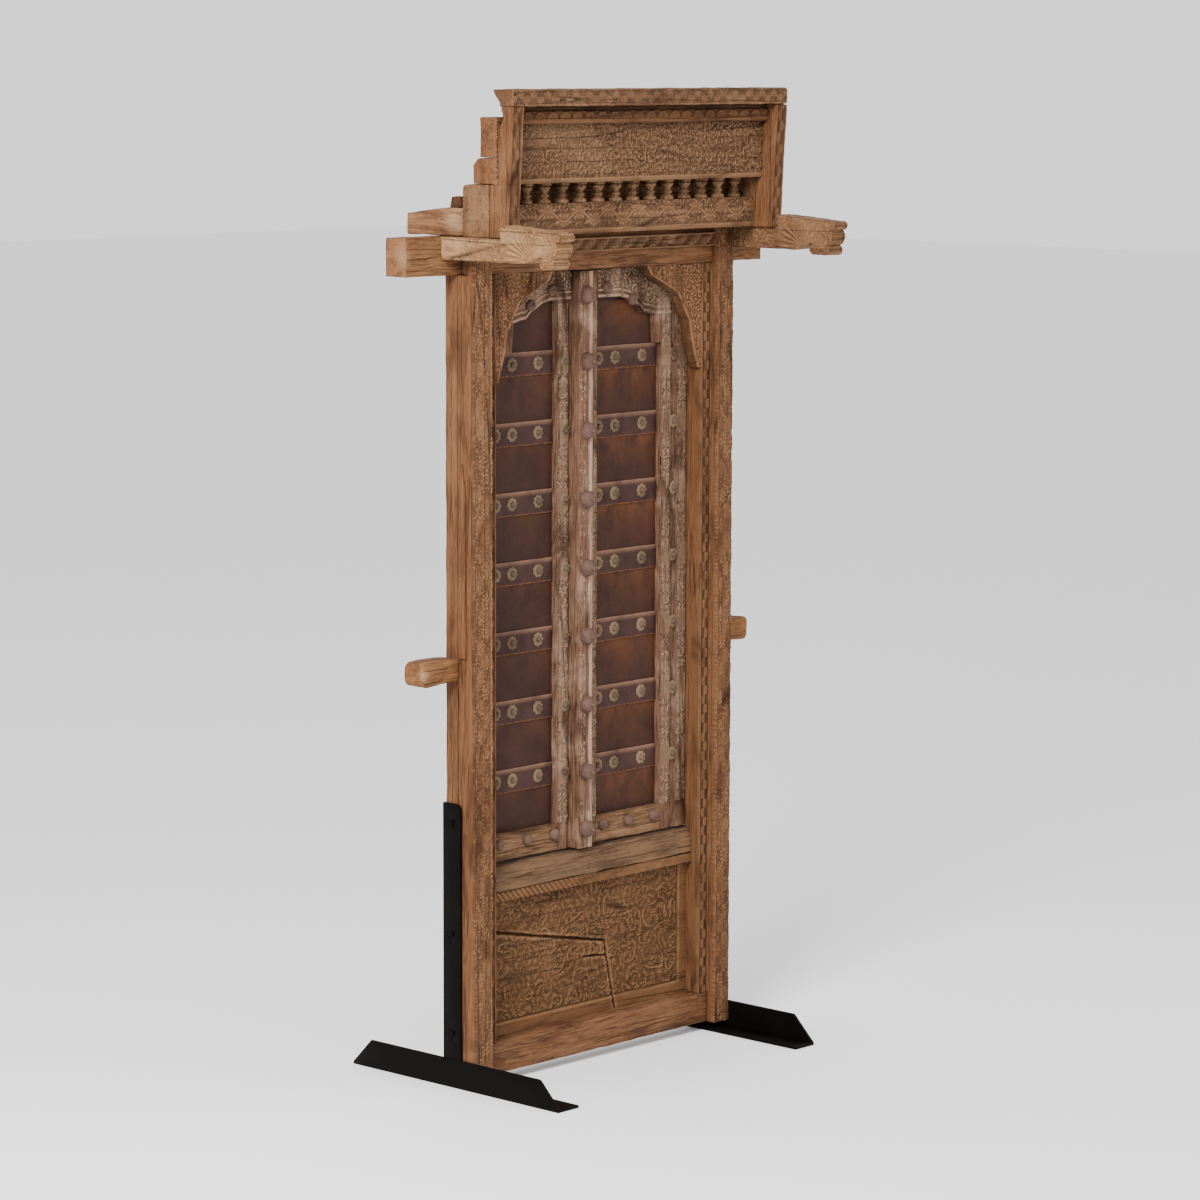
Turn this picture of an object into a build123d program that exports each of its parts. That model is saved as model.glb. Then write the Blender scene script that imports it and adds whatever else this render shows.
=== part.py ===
from build123d import *

import os
from math import atan2, cos, degrees, pi, radians, sin

os.makedirs("parts", exist_ok=True)

# A carved window frame with two iron clad leaves, a header carried on corbels, and a stand of steel angle.
# Millimetres. X runs along the width from the centre line, Y runs back, Z runs up from the floor.
# Most depths are written as distances back from the front plane of the outer strips.

# Fixed frame
HALF_WIDTH = 389.5
FRAME_BASE = 19
HEAD_BASE = 1660
HEAD_HEIGHT = 78
OUTER_STRIP_WIDTH = 48
OUTER_STRIP_THICK = 20
OUTER_STRIP_ROUND = 4
OUTER_STRIP_END_CUT = 7
INNER_BAND_WIDTH = 30
POST_THICK = 32
LIP_WIDTH = 22
LIP_DEPTH = 12
REAR_POST_THICK = 33
BOTTOM_RAIL_HEIGHT = 67
HEAD_RAIL_LAP = 36
HEAD_RAIL_THICK = 30
HEAD_RAIL_BEVEL = 5
HEAD_STRIP_THICK = 10
HEAD_STRIP_HEIGHT = 27
HEAD_STRIP_DROP = 13
HEAD_STRIP_ROUND = 3
SPLINT_THICK = 5
SPLINT_WIDTH = 20
SPLINT_LENGTH = 395
SPLINT_TIP = 60
SPLINT_SETBACK = 26

# Sill, panel and the small moulding between them
SILL_TOP = 446
SILL_HEIGHT = 54
SILL_SETBACK = 40
SILL_BACK = 100
SILL_BEVEL = 13
SILL_BEVEL_HEIGHT = 22
SILL_ROUND = 5
PANEL_SETBACK = 57
PANEL_THICK = 18
PANEL_BORDER = 27
PANEL_SINK = 3
PANEL_ROSE_RADIUS = 34
PANEL_ROSE_PETALS = 8
PANEL_ROSE_RISE = 3
PANEL_ROSE_LOBE = 11
MOULDING_HEIGHT = 20
MOULDING_THICK = 15
MOULDING_SLOPE = 6
CRACK_WIDTH = 1
CRACK_LEFT_HEIGHT = 227
CRACK_LENGTH = 367
CRACK_RIGHT_HEIGHT = 152
CRACK_STEP = 7
CRACK_STEP_HEIGHT = 111
CRACK_FOOT = 397

# Spandrels: distances in from the reveal and down from the head
SPANDREL_SETBACK = 22
SPANDREL_THICK = 28
SPANDREL_SPAN = 171
SPANDREL_DROP = 219
SPANDREL_STEP = 6
SPANDREL_TOE = 12
SPANDREL_TOP_BULGE = (158, 19)
SPANDREL_CUSP = (132, 31)
SPANDREL_MAIN_BULGE = (76, 58)
SPANDREL_NOTCH = (45, 111)
SPANDREL_FOOT_BULGE = (32, 160)

# Lintel, tails, side stubs
LINTEL_THICK = 60
HORN_LENGTH = 143
HORN_ROUND = 6
TAIL_WIDTH = 50
TAIL_HEIGHT = 57
TAIL_FALL = 13
TAIL_LENGTH = 158
PEG_SIZE = 30
PEG_HEIGHT = 22
PEG_TAPER = 5
PEG_SETBACK = 30
STUB_LENGTH = 105
STUB_SETBACK = 45
STUB_THICK = 55
STUB_BASE = 843
STUB_HEIGHT = 46
STUB_FLARE = 6
STUB_ROUND = 14

# Brackets
BRACKET_REACH = 275
BRACKET_WIDTH = 47
BRACKET_HEIGHT = 46
BRACKET_HEAD_RISE = 27
BRACKET_HEAD_FALL = 10
BRACKET_HEAD_LENGTH = 162
BUD_SETBACK = 20
BUD_LENGTHS = {"left": 30, "right": 44}
BUD_DROP = 9
CURL_RADIUS = 12

# Header
HEADER_OVERHANG = 21.5
HEADER_POST_WIDTH = 32
HEADER_LEAN = 14
HEADER_HEIGHT = 292
TOP_RAIL_HEIGHT = 35
TOP_RAIL_DEPTH = 64
TOP_RAIL_FLAT = 17
TOP_RAIL_BEVEL = 25
TOP_RAIL_ROUND = 9
HEADER_POST_DEPTH = 30
LOWER_BEAM_HEIGHT = 105
LOWER_BEAM_SETBACK = 55
LOWER_BEAM_THICK = 73
LOWER_BEAM_ROUND = 12
REBATE_HEIGHT = 41
REBATE_DEPTH = 36
UPPER_PANEL_THICK = 12
UPPER_PANEL_HEIGHT = 132
MIDDLE_BOARD_HEIGHT = 52
MIDDLE_BOARD_THICK = 57
MIDDLE_BOARD_CUT = 14
UPPER_BOARD_THICK = 38
CORNICE_HEIGHT = 35
CORNICE_THICK = 19
SCALLOP_COUNT = 27
SCALLOP_DEPTH = 3
SCALLOP_LAND = 6
SCALLOP_HEIGHT = 12
SCALLOP_ANGLE = 60
BALUSTER_COUNT = 14
BALUSTER_END = 39
BALUSTER_RADIUS = 15
BALUSTER_NECK = 8
BALUSTER_RING = 12
BALUSTER_SIDES = 8
BALUSTER_PROFILE = [
    (BALUSTER_RADIUS, 0),
    (BALUSTER_RADIUS, 5),
    (BALUSTER_NECK, 9),
    (BALUSTER_RING, 14.5),
    (BALUSTER_NECK, 19),
    (BALUSTER_RADIUS, 32),
    (BALUSTER_RADIUS, REBATE_HEIGHT),
]

# Leaves
LEAF_THICK = 32
LEAF_CLEARANCE = 2
LEAF_END_GAP = 4
HEEL_GAP = 4
MEETING_GAP = 4
PIN_RADIUS = 10
PIN_LENGTH = 20
PIN_CLEARANCE = 0.4
PIN_END_CLEARANCE = 0.3
STILE_IN_VIEW = {"left": 42, "right": 77.5}
MEETING_STILE_WIDTH = {"left": 82, "right": 33}
LEAF_RAIL_HEIGHT = 56
RAIL_GROOVE_HEIGHT = 18
GROOVE_DEPTH = 5
GROOVE_WIDTH = {"left": 9, "right": 21}
STRIP_WIDTH = 28
SHEET_SETBACK = 16
SHEET_THICK = 2
SHEET_TOP_COVER = 20
ARCH_HEAD_DROP = 161
ARCH_TOP_DROP = 59
ARCH_LEG = 94
ARCH_LEG_LEAN = 4
ARCH_FLAT_HALF = 106.5
ARCH_CURVE = ((0.23, 6), (0.41, 17), (0.53, 23), (0.64, 35), (0.78, 37))
ARCH_LEG_DROP = 42
PLANK_COUNT = 2
PLANK_CUT = 3
STRAP_COUNT = 7
STRAP_FIRST = 162
STRAP_LAST = 186
STRAP_HEIGHT = 50
STRAP_THICK = 3
SLOT_WIDTH = 11
SLOT_DEPTH = 8
SLOT_EDGE = 5
ROSETTE_RADIUS = 16
ROSETTE_THICK = 3
ROSETTE_LOBES = 8
ROSETTE_EDGE = 17
ROSETTE_SHARES = (0, 0.28, 0.74)
ROSETTE_GAP = 0.3
NAIL_RADIUS = 5
NAIL_HEIGHT = 5
NAIL_TAPER = 25
STUD_RADIUS = 13
STUD_HEIGHT = 9
STUD_RIM = 2
STUD_RISE = 35
STUD_HANGING_EDGE = {"left": 13.5, "right": 22}
STUD_MEETING_EDGE = {"left": 9, "right": 19}
ARCH_STUD_INSETS = {"left": (20, 82), "right": (27, 105)}
ARCH_STUD_DROPS = (38, 66)
ASTRAGAL_WIDTH = 43
ASTRAGAL_THICK = 25
ASTRAGAL_BEAD = 14
QUIRK_WIDTH = 2
QUIRK_DEPTH = 3
BOSS_RADIUS = 19
BOSS_HEIGHT = 26
BOSS_RIM = 3
TOP_BOSS_DROP = 49
FOOT_BOSS_RISE = 41
DOME_RING_STEP = 30
DOME_SIDES = 12

# Stand
FOOT_FRONT = 236
FOOT_BACK = 357
FOOT_LEG = 60
FOOT_THICK = 6
FOOT_END_CUT = 54
UPRIGHT_LEG = 50
UPRIGHT_THICK = 5
UPRIGHT_TOP = 590
UPRIGHT_CORNER = 14
ANGLE_ROOT = 4
SCREW_RADIUS = 3
SCREW_HEAD_RADIUS = 6
SCREW_HEAD_HEIGHT = 3
SCREW_LENGTH = 30
SCREW_CLEARANCE = 0.3
SCREW_HEIGHTS = (113, 320, 549)
SCREW_SETBACK = 66

# Places that follow from the sizes
FRONT_Y = (BRACKET_REACH - FOOT_BACK) / 2
POST_WIDTH = OUTER_STRIP_WIDTH + INNER_BAND_WIDTH
POST_BACK = OUTER_STRIP_THICK + POST_THICK
LIP_BACK = POST_BACK + LIP_DEPTH
REAR_POST_BACK = POST_BACK + REAR_POST_THICK
REAR_POST_WIDTH = POST_WIDTH - LIP_WIDTH
HEAD_TOP = HEAD_BASE + HEAD_HEIGHT
HEAD_RAIL_BACK = OUTER_STRIP_THICK + HEAD_RAIL_THICK
BOTTOM_RAIL_TOP = FRAME_BASE + BOTTOM_RAIL_HEIGHT
REVEAL_X = HALF_WIDTH - POST_WIDTH
SILL_BASE = SILL_TOP - SILL_HEIGHT
LEAF_FRONT = LIP_BACK + LEAF_CLEARANCE
LEAF_BACK = LEAF_FRONT + LEAF_THICK
LEAF_BASE = SILL_TOP + LEAF_END_GAP
LEAF_TOP = HEAD_BASE - LEAF_END_GAP
HEEL_RADIUS = LEAF_THICK / 2
PIVOT_X = HALF_WIDTH - REAR_POST_WIDTH - HEEL_GAP - HEEL_RADIUS
PIVOT_DEPTH = LEAF_FRONT + HEEL_RADIUS
SOCKET_RADIUS = PIN_RADIUS + PIN_CLEARANCE
SOCKET_DEPTH = PIN_LENGTH - LEAF_END_GAP + PIN_END_CLEARANCE
SHEET_FRONT = LEAF_FRONT + SHEET_SETBACK
SHEET_BACK = SHEET_FRONT + SHEET_THICK
STRAP_FRONT = SHEET_FRONT - STRAP_THICK
STRAP_PITCH = (LEAF_TOP - STRAP_LAST - LEAF_BASE - STRAP_FIRST) / (STRAP_COUNT - 1)
STRAP_LEVELS = [LEAF_BASE + STRAP_FIRST + STRAP_PITCH * i for i in range(STRAP_COUNT)]
HEADER_BASE = HEAD_TOP
HEADER_HALF_WIDTH = HALF_WIDTH + HEADER_OVERHANG
HEADER_TOP = HEADER_BASE + HEADER_HEIGHT
TOP_RAIL_BASE = HEADER_TOP - TOP_RAIL_HEIGHT
HEADER_FRONT_LOW = -(BRACKET_REACH - BRACKET_HEAD_LENGTH)
HEADER_FRONT_HIGH = HEADER_FRONT_LOW - HEADER_LEAN
LOWER_BEAM_FRONT = HEADER_FRONT_LOW + LOWER_BEAM_SETBACK
LOWER_BEAM_BACK = LOWER_BEAM_FRONT + LOWER_BEAM_THICK
LOWER_BEAM_TOP = HEADER_BASE + LOWER_BEAM_HEIGHT
UPPER_PANEL_FRONT = HEADER_FRONT_LOW + HEADER_POST_DEPTH
UPPER_PANEL_BACK = UPPER_PANEL_FRONT + UPPER_PANEL_THICK
UPPER_PANEL_TOP = LOWER_BEAM_TOP + UPPER_PANEL_HEIGHT
HEADER_INSIDE = HEADER_HALF_WIDTH - HEADER_POST_WIDTH
CORNICE_FRONT = UPPER_PANEL_FRONT - CORNICE_THICK
CORNICE_BASE = TOP_RAIL_BASE - CORNICE_HEIGHT
SIDES = {"left": -1, "right": 1}


def rectangle(a0, a1, b0, b1):
    """A rectangle of the current sketch between two corners."""
    with Locations(((a0 + a1) / 2, (b0 + b1) / 2)):
        Rectangle(abs(a1 - a0), abs(b1 - b0))


def section_at(height):
    """The horizontal plane at a height, for plan sections: (x, depth) from the front plane."""
    return Plane((0, FRONT_Y, height), x_dir=(1, 0, 0), z_dir=(0, 0, 1))


def elevation_at(depth):
    """The upright plane at a depth, for elevations: (x, z). It faces forward."""
    return Plane((0, FRONT_Y + depth, 0), x_dir=(1, 0, 0), z_dir=(0, -1, 0))


def profile_at(x):
    """The upright plane across the width at x, for side profiles: (depth, z)."""
    return Plane((x, FRONT_Y, 0), x_dir=(0, 1, 0), z_dir=(1, 0, 0))


def from_reveal(side, inward, height):
    """A point of an elevation, measured in from the reveal on one side."""
    return (side * (REVEAL_X - inward), height)


def tapered_step(wide, narrow, rise, sides):
    """A short flat sided length that stands on the floor plane and narrows as it rises."""
    with BuildPart() as piece:
        with BuildSketch():
            RegularPolygon(wide, sides)
        extrude(amount=rise, taper=degrees(atan2((wide - narrow) * cos(pi / sides), rise)))
    return piece.part


def faceted(profile, sides):
    """A piece cut with flat facets, standing on the floor plane, from its radii and heights."""
    with BuildPart() as piece:
        for (radius, height), (next_radius, next_height) in zip(profile, profile[1:]):
            wide, narrow = max(radius, next_radius), min(radius, next_radius)
            step = tapered_step(wide, narrow, next_height - height, sides)
            if radius >= next_radius:
                add(Location((0, 0, height)) * step)
            else:
                add(Location((0, 0, next_height), (180, 0, 0)) * step)
    return piece.part


def dome(radius, height, rim, top):
    """A hammered dome on a short rim, with a flat top."""
    rings = [
        (radius * cos(radians(turn)), rim + (height - rim) * sin(radians(turn)))
        for turn in range(0, 90, DOME_RING_STEP)
    ]
    return faceted([(radius, 0), *rings, (top, height)], DOME_SIDES)


def save(part, node):
    """Label a finished piece and write it as one STEP file."""
    part.label = node
    export_step(part, f"parts/{node}.step")


# Outer strips, with rounded front edges and a cut lower corner
for name, side in SIDES.items():
    with BuildPart() as outer_strip:
        with BuildSketch(elevation_at(OUTER_STRIP_THICK)) as strip_outline:
            rectangle(side * (HALF_WIDTH - OUTER_STRIP_WIDTH), side * HALF_WIDTH, FRAME_BASE, HEAD_TOP)
            foot_corner = strip_outline.vertices().group_by(Axis.Z)[0].sort_by(Axis.X)[0 if side < 0 else -1]
            chamfer(foot_corner, OUTER_STRIP_END_CUT)
        extrude(amount=OUTER_STRIP_THICK)
        fillet(outer_strip.edges().filter_by(Axis.Z).group_by(Axis.Y)[0], OUTER_STRIP_ROUND)
    save(outer_strip.part, f"{name}_outer_strip")

# Main posts, with the lip that the leaves close against
for name, side in SIDES.items():
    with BuildPart() as main_post:
        with BuildSketch(section_at(BOTTOM_RAIL_TOP)):
            rectangle(side * REVEAL_X, side * HALF_WIDTH, OUTER_STRIP_THICK, POST_BACK)
            rectangle(side * REVEAL_X, side * (REVEAL_X + LIP_WIDTH), POST_BACK, LIP_BACK)
        extrude(amount=HEAD_BASE - BOTTOM_RAIL_TOP)
        with BuildSketch(section_at(FRAME_BASE)):
            rectangle(side * (HALF_WIDTH - OUTER_STRIP_WIDTH), side * HALF_WIDTH, OUTER_STRIP_THICK, POST_BACK)
        extrude(amount=BOTTOM_RAIL_HEIGHT)
    save(main_post.part, f"{name}_main_post")

# Rear posts, drilled for the stand's screws
for name, side in SIDES.items():
    with BuildPart() as rear_post:
        with BuildSketch(section_at(FRAME_BASE)):
            rectangle(side * (HALF_WIDTH - REAR_POST_WIDTH), side * HALF_WIDTH, POST_BACK, REAR_POST_BACK)
        extrude(amount=HEAD_BASE - FRAME_BASE)
        with BuildSketch(profile_at(side * HALF_WIDTH)):
            with Locations(*[(SCREW_SETBACK, height) for height in SCREW_HEIGHTS]):
                Circle(SCREW_RADIUS + SCREW_CLEARANCE)
        extrude(amount=-side * (SCREW_LENGTH - UPRIGHT_THICK + SCREW_CLEARANCE), mode=Mode.SUBTRACT)
    save(rear_post.part, f"{name}_rear_post")

# Splint on the left side, pointed at its upper end, standing on the side stub
SPLINT_BASE = STUB_BASE + STUB_HEIGHT
with BuildPart() as left_side_splint:
    with BuildSketch(profile_at(-HALF_WIDTH)):
        with BuildLine():
            Polyline(
                (SPLINT_SETBACK, SPLINT_BASE),
                (SPLINT_SETBACK + SPLINT_WIDTH, SPLINT_BASE),
                (SPLINT_SETBACK + SPLINT_WIDTH, SPLINT_BASE + SPLINT_LENGTH - SPLINT_TIP),
                (SPLINT_SETBACK + SPLINT_WIDTH / 2, SPLINT_BASE + SPLINT_LENGTH),
                (SPLINT_SETBACK, SPLINT_BASE + SPLINT_LENGTH - SPLINT_TIP),
                close=True,
            )
        make_face()
    extrude(amount=-SPLINT_THICK)
save(left_side_splint.part, "left_side_splint")

# Bottom rail, lapped in front of the posts and carrying the panel on its back half
with BuildPart() as bottom_rail:
    with BuildSketch(section_at(FRAME_BASE)):
        rail_half = HALF_WIDTH - OUTER_STRIP_WIDTH
        rectangle(-rail_half, rail_half, OUTER_STRIP_THICK, POST_BACK)
        rail_back_half = HALF_WIDTH - REAR_POST_WIDTH
        rectangle(-rail_back_half, rail_back_half, POST_BACK, PANEL_SETBACK + PANEL_THICK)
    extrude(amount=BOTTOM_RAIL_HEIGHT)
save(bottom_rail.part, "bottom_rail")

# Head rail with a bevel along its lower front edge
with BuildPart() as head_rail:
    with BuildSketch(profile_at(-(HALF_WIDTH - OUTER_STRIP_WIDTH + HEAD_RAIL_LAP))) as head_section:
        rectangle(OUTER_STRIP_THICK, HEAD_RAIL_BACK, HEAD_BASE, HEAD_TOP)
        chamfer(head_section.vertices().group_by(Axis.Z)[0].sort_by(Axis.Y)[0], HEAD_RAIL_BEVEL)
    extrude(amount=2 * (HALF_WIDTH - OUTER_STRIP_WIDTH + HEAD_RAIL_LAP))
save(head_rail.part, "head_rail")

# Carved strip on the head rail
with BuildPart() as head_carved_strip:
    with BuildSketch(profile_at(-(HALF_WIDTH - OUTER_STRIP_WIDTH))) as strip_profile:
        rectangle(
            OUTER_STRIP_THICK - HEAD_STRIP_THICK,
            OUTER_STRIP_THICK,
            HEAD_TOP - HEAD_STRIP_DROP - HEAD_STRIP_HEIGHT,
            HEAD_TOP - HEAD_STRIP_DROP,
        )
        fillet(strip_profile.vertices().group_by(Axis.Y)[0], HEAD_STRIP_ROUND)
    extrude(amount=2 * (HALF_WIDTH - OUTER_STRIP_WIDTH))
save(head_carved_strip.part, "head_carved_strip")

# Sill with a bevelled and rounded nose, and the lower pivot sockets
with BuildPart() as sill:
    with BuildSketch(profile_at(-REVEAL_X)) as nose:
        with BuildLine():
            Polyline(
                (LIP_BACK, SILL_BASE),
                (SILL_SETBACK, SILL_BASE),
                (SILL_SETBACK, SILL_TOP - SILL_BEVEL_HEIGHT),
                (SILL_SETBACK + SILL_BEVEL, SILL_TOP),
                (LIP_BACK, SILL_TOP),
                close=True,
            )
        make_face()
        fillet(nose.vertices().sort_by(Axis.Y)[:3], SILL_ROUND)
    extrude(amount=2 * REVEAL_X)
    with BuildSketch(section_at(SILL_BASE)):
        rectangle(-(REVEAL_X + LIP_WIDTH), REVEAL_X + LIP_WIDTH, LIP_BACK, SILL_BACK)
    extrude(amount=SILL_HEIGHT)
    with BuildSketch(section_at(SILL_TOP)):
        with Locations((-PIVOT_X, PIVOT_DEPTH), (PIVOT_X, PIVOT_DEPTH)):
            Circle(SOCKET_RADIUS)
    extrude(amount=-SOCKET_DEPTH, mode=Mode.SUBTRACT)
save(sill.part, "sill")

# Moulding under the sill, sloping back at its foot
with BuildPart() as sill_moulding:
    with BuildSketch(profile_at(-REVEAL_X)):
        with BuildLine():
            Polyline(
                (PANEL_SETBACK, SILL_BASE),
                (PANEL_SETBACK - MOULDING_THICK, SILL_BASE),
                (PANEL_SETBACK - MOULDING_THICK, SILL_BASE - MOULDING_HEIGHT + MOULDING_SLOPE),
                (PANEL_SETBACK, SILL_BASE - MOULDING_HEIGHT),
                close=True,
            )
        make_face()
    extrude(amount=2 * REVEAL_X)
save(sill_moulding.part, "sill_moulding")


def corner_outline(allowance):
    """Corners of the lower left part of the panel, up to the stepped crack."""
    left = -REVEAL_X
    return [
        (left, BOTTOM_RAIL_TOP),
        (left, BOTTOM_RAIL_TOP + CRACK_LEFT_HEIGHT + allowance),
        (left + CRACK_LENGTH + allowance, BOTTOM_RAIL_TOP + CRACK_RIGHT_HEIGHT + allowance),
        (left + CRACK_LENGTH + CRACK_STEP + allowance, BOTTOM_RAIL_TOP + CRACK_STEP_HEIGHT),
        (left + CRACK_FOOT + allowance, BOTTOM_RAIL_TOP),
    ]


# Lower panel: a sunk field inside a plain border, with two carved roses
PANEL_BACK = PANEL_SETBACK + PANEL_THICK
FIELD_FRONT = PANEL_SETBACK + PANEL_SINK
FIELD_BASE = BOTTOM_RAIL_TOP + PANEL_BORDER
FIELD_TOP = SILL_BASE - MOULDING_HEIGHT
ROSE_PLACES = [(-REVEAL_X / 2, (FIELD_BASE + FIELD_TOP) / 2), (REVEAL_X / 2, (FIELD_BASE + FIELD_TOP) / 2)]
with BuildPart() as whole_panel:
    with BuildSketch(elevation_at(PANEL_BACK)):
        rectangle(-REVEAL_X, REVEAL_X, BOTTOM_RAIL_TOP, SILL_BASE)
    extrude(amount=PANEL_THICK)
    with BuildSketch(elevation_at(FIELD_FRONT)):
        rectangle(-(REVEAL_X - PANEL_BORDER), REVEAL_X - PANEL_BORDER, FIELD_BASE, FIELD_TOP)
    extrude(amount=PANEL_SINK, mode=Mode.SUBTRACT)
    with BuildSketch(elevation_at(FIELD_FRONT)):
        with Locations(*ROSE_PLACES):
            Circle(PANEL_ROSE_RADIUS - PANEL_ROSE_LOBE)
            with PolarLocations(PANEL_ROSE_RADIUS - PANEL_ROSE_LOBE, PANEL_ROSE_PETALS):
                RegularPolygon(PANEL_ROSE_LOBE, PANEL_ROSE_PETALS)
    extrude(amount=PANEL_ROSE_RISE)

with BuildPart() as lower_panel:
    add(whole_panel.part)
    with BuildSketch(elevation_at(PANEL_BACK)):
        with BuildLine():
            Polyline(*corner_outline(CRACK_WIDTH), close=True)
        make_face()
    extrude(amount=PANEL_THICK + PANEL_ROSE_RISE, mode=Mode.SUBTRACT)
save(lower_panel.part, "lower_panel")

with BuildPart() as lower_panel_corner:
    add(whole_panel.part)
    with BuildSketch(elevation_at(PANEL_BACK)):
        with BuildLine():
            Polyline(*corner_outline(0), close=True)
        make_face()
    extrude(amount=PANEL_THICK + PANEL_ROSE_RISE, mode=Mode.INTERSECT)
save(lower_panel_corner.part, "lower_panel_corner")

# Spandrels: the cusped curve comes down from the head, steps once and dies into the reveal
for name, side in SIDES.items():
    corner = from_reveal(side, 0, HEAD_BASE)
    top = from_reveal(side, SPANDREL_SPAN, HEAD_BASE)
    top_bulge = from_reveal(side, SPANDREL_TOP_BULGE[0], HEAD_BASE - SPANDREL_TOP_BULGE[1])
    cusp = from_reveal(side, SPANDREL_CUSP[0], HEAD_BASE - SPANDREL_CUSP[1])
    main_bulge = from_reveal(side, SPANDREL_MAIN_BULGE[0], HEAD_BASE - SPANDREL_MAIN_BULGE[1])
    step_top = from_reveal(side, SPANDREL_NOTCH[0], HEAD_BASE - SPANDREL_NOTCH[1])
    step_foot = from_reveal(side, SPANDREL_NOTCH[0] - SPANDREL_STEP, HEAD_BASE - SPANDREL_NOTCH[1] - SPANDREL_STEP)
    foot_bulge = from_reveal(side, SPANDREL_FOOT_BULGE[0], HEAD_BASE - SPANDREL_FOOT_BULGE[1])
    toe = from_reveal(side, SPANDREL_TOE, HEAD_BASE - SPANDREL_DROP)
    heel = from_reveal(side, 0, HEAD_BASE - SPANDREL_DROP)
    with BuildPart() as spandrel:
        with BuildSketch(elevation_at(SPANDREL_SETBACK + SPANDREL_THICK)):
            with BuildLine():
                Line(corner, top)
                ThreePointArc(top, top_bulge, cusp)
                ThreePointArc(cusp, main_bulge, step_top)
                Line(step_top, step_foot)
                ThreePointArc(step_foot, foot_bulge, toe)
                Polyline(toe, heel, corner)
            make_face()
        extrude(amount=SPANDREL_THICK)
    save(spandrel.part, f"{name}_spandrel")

# Lintel beam with its horns and the upper pivot sockets
LINTEL_BACK = HEAD_RAIL_BACK + LINTEL_THICK
with BuildPart() as lintel_beam:
    with BuildSketch(section_at(HEAD_BASE)):
        rectangle(-(HALF_WIDTH + HORN_LENGTH), HALF_WIDTH + HORN_LENGTH, HEAD_RAIL_BACK, LINTEL_BACK)
    extrude(amount=HEAD_HEIGHT)
    fillet(lintel_beam.edges().filter_by(Axis.Y).group_by(Axis.Z)[-1], HORN_ROUND)
    with BuildSketch(section_at(HEAD_BASE)):
        with Locations((-PIVOT_X, PIVOT_DEPTH), (PIVOT_X, PIVOT_DEPTH)):
            Circle(SOCKET_RADIUS)
    extrude(amount=SOCKET_DEPTH, mode=Mode.SUBTRACT)
save(lintel_beam.part, "lintel_beam")

# Header tails, lower at the back
for name, side in SIDES.items():
    with BuildPart() as header_tail:
        with BuildSketch(profile_at(side * HEADER_HALF_WIDTH)):
            with BuildLine():
                Polyline(
                    (LOWER_BEAM_BACK, HEAD_TOP),
                    (LOWER_BEAM_BACK + TAIL_LENGTH, HEAD_TOP),
                    (LOWER_BEAM_BACK + TAIL_LENGTH, HEAD_TOP + TAIL_HEIGHT - TAIL_FALL),
                    (LOWER_BEAM_BACK + PEG_SETBACK + PEG_SIZE, HEAD_TOP + TAIL_HEIGHT),
                    (LOWER_BEAM_BACK, HEAD_TOP + TAIL_HEIGHT),
                    close=True,
                )
            make_face()
        extrude(amount=-side * TAIL_WIDTH)
    save(header_tail.part, f"{name}_header_tail")

# Pegs on the tails
with BuildPart() as tail_pegs:
    for side in SIDES.values():
        peg_x = side * (HEADER_HALF_WIDTH - TAIL_WIDTH / 2)
        peg_depth = LOWER_BEAM_BACK + PEG_SETBACK / 2 + PEG_SIZE / 2
        with BuildSketch(section_at(HEAD_TOP + TAIL_HEIGHT)):
            rectangle(peg_x - PEG_SIZE / 2, peg_x + PEG_SIZE / 2, peg_depth - PEG_SIZE / 2, peg_depth + PEG_SIZE / 2)
        extrude(amount=PEG_HEIGHT, taper=PEG_TAPER)
save(tail_pegs.part, "tail_pegs")

# Side stubs, flared and rounded at their outer end
for name, side in SIDES.items():
    with BuildPart() as wall_stub:
        with BuildSketch(elevation_at(STUB_SETBACK + STUB_THICK)) as stub_outline:
            with BuildLine():
                Polyline(
                    (side * HALF_WIDTH, STUB_BASE),
                    (side * (HALF_WIDTH + STUB_LENGTH), STUB_BASE - STUB_FLARE),
                    (side * (HALF_WIDTH + STUB_LENGTH), STUB_BASE + STUB_HEIGHT),
                    (side * HALF_WIDTH, STUB_BASE + STUB_HEIGHT),
                    close=True,
                )
            make_face()
            outer_corners = stub_outline.vertices().group_by(Axis.X)[0 if side < 0 else -1]
            fillet(outer_corners, STUB_ROUND)
        extrude(amount=STUB_THICK)
    save(wall_stub.part, f"{name}_wall_stub")

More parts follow.
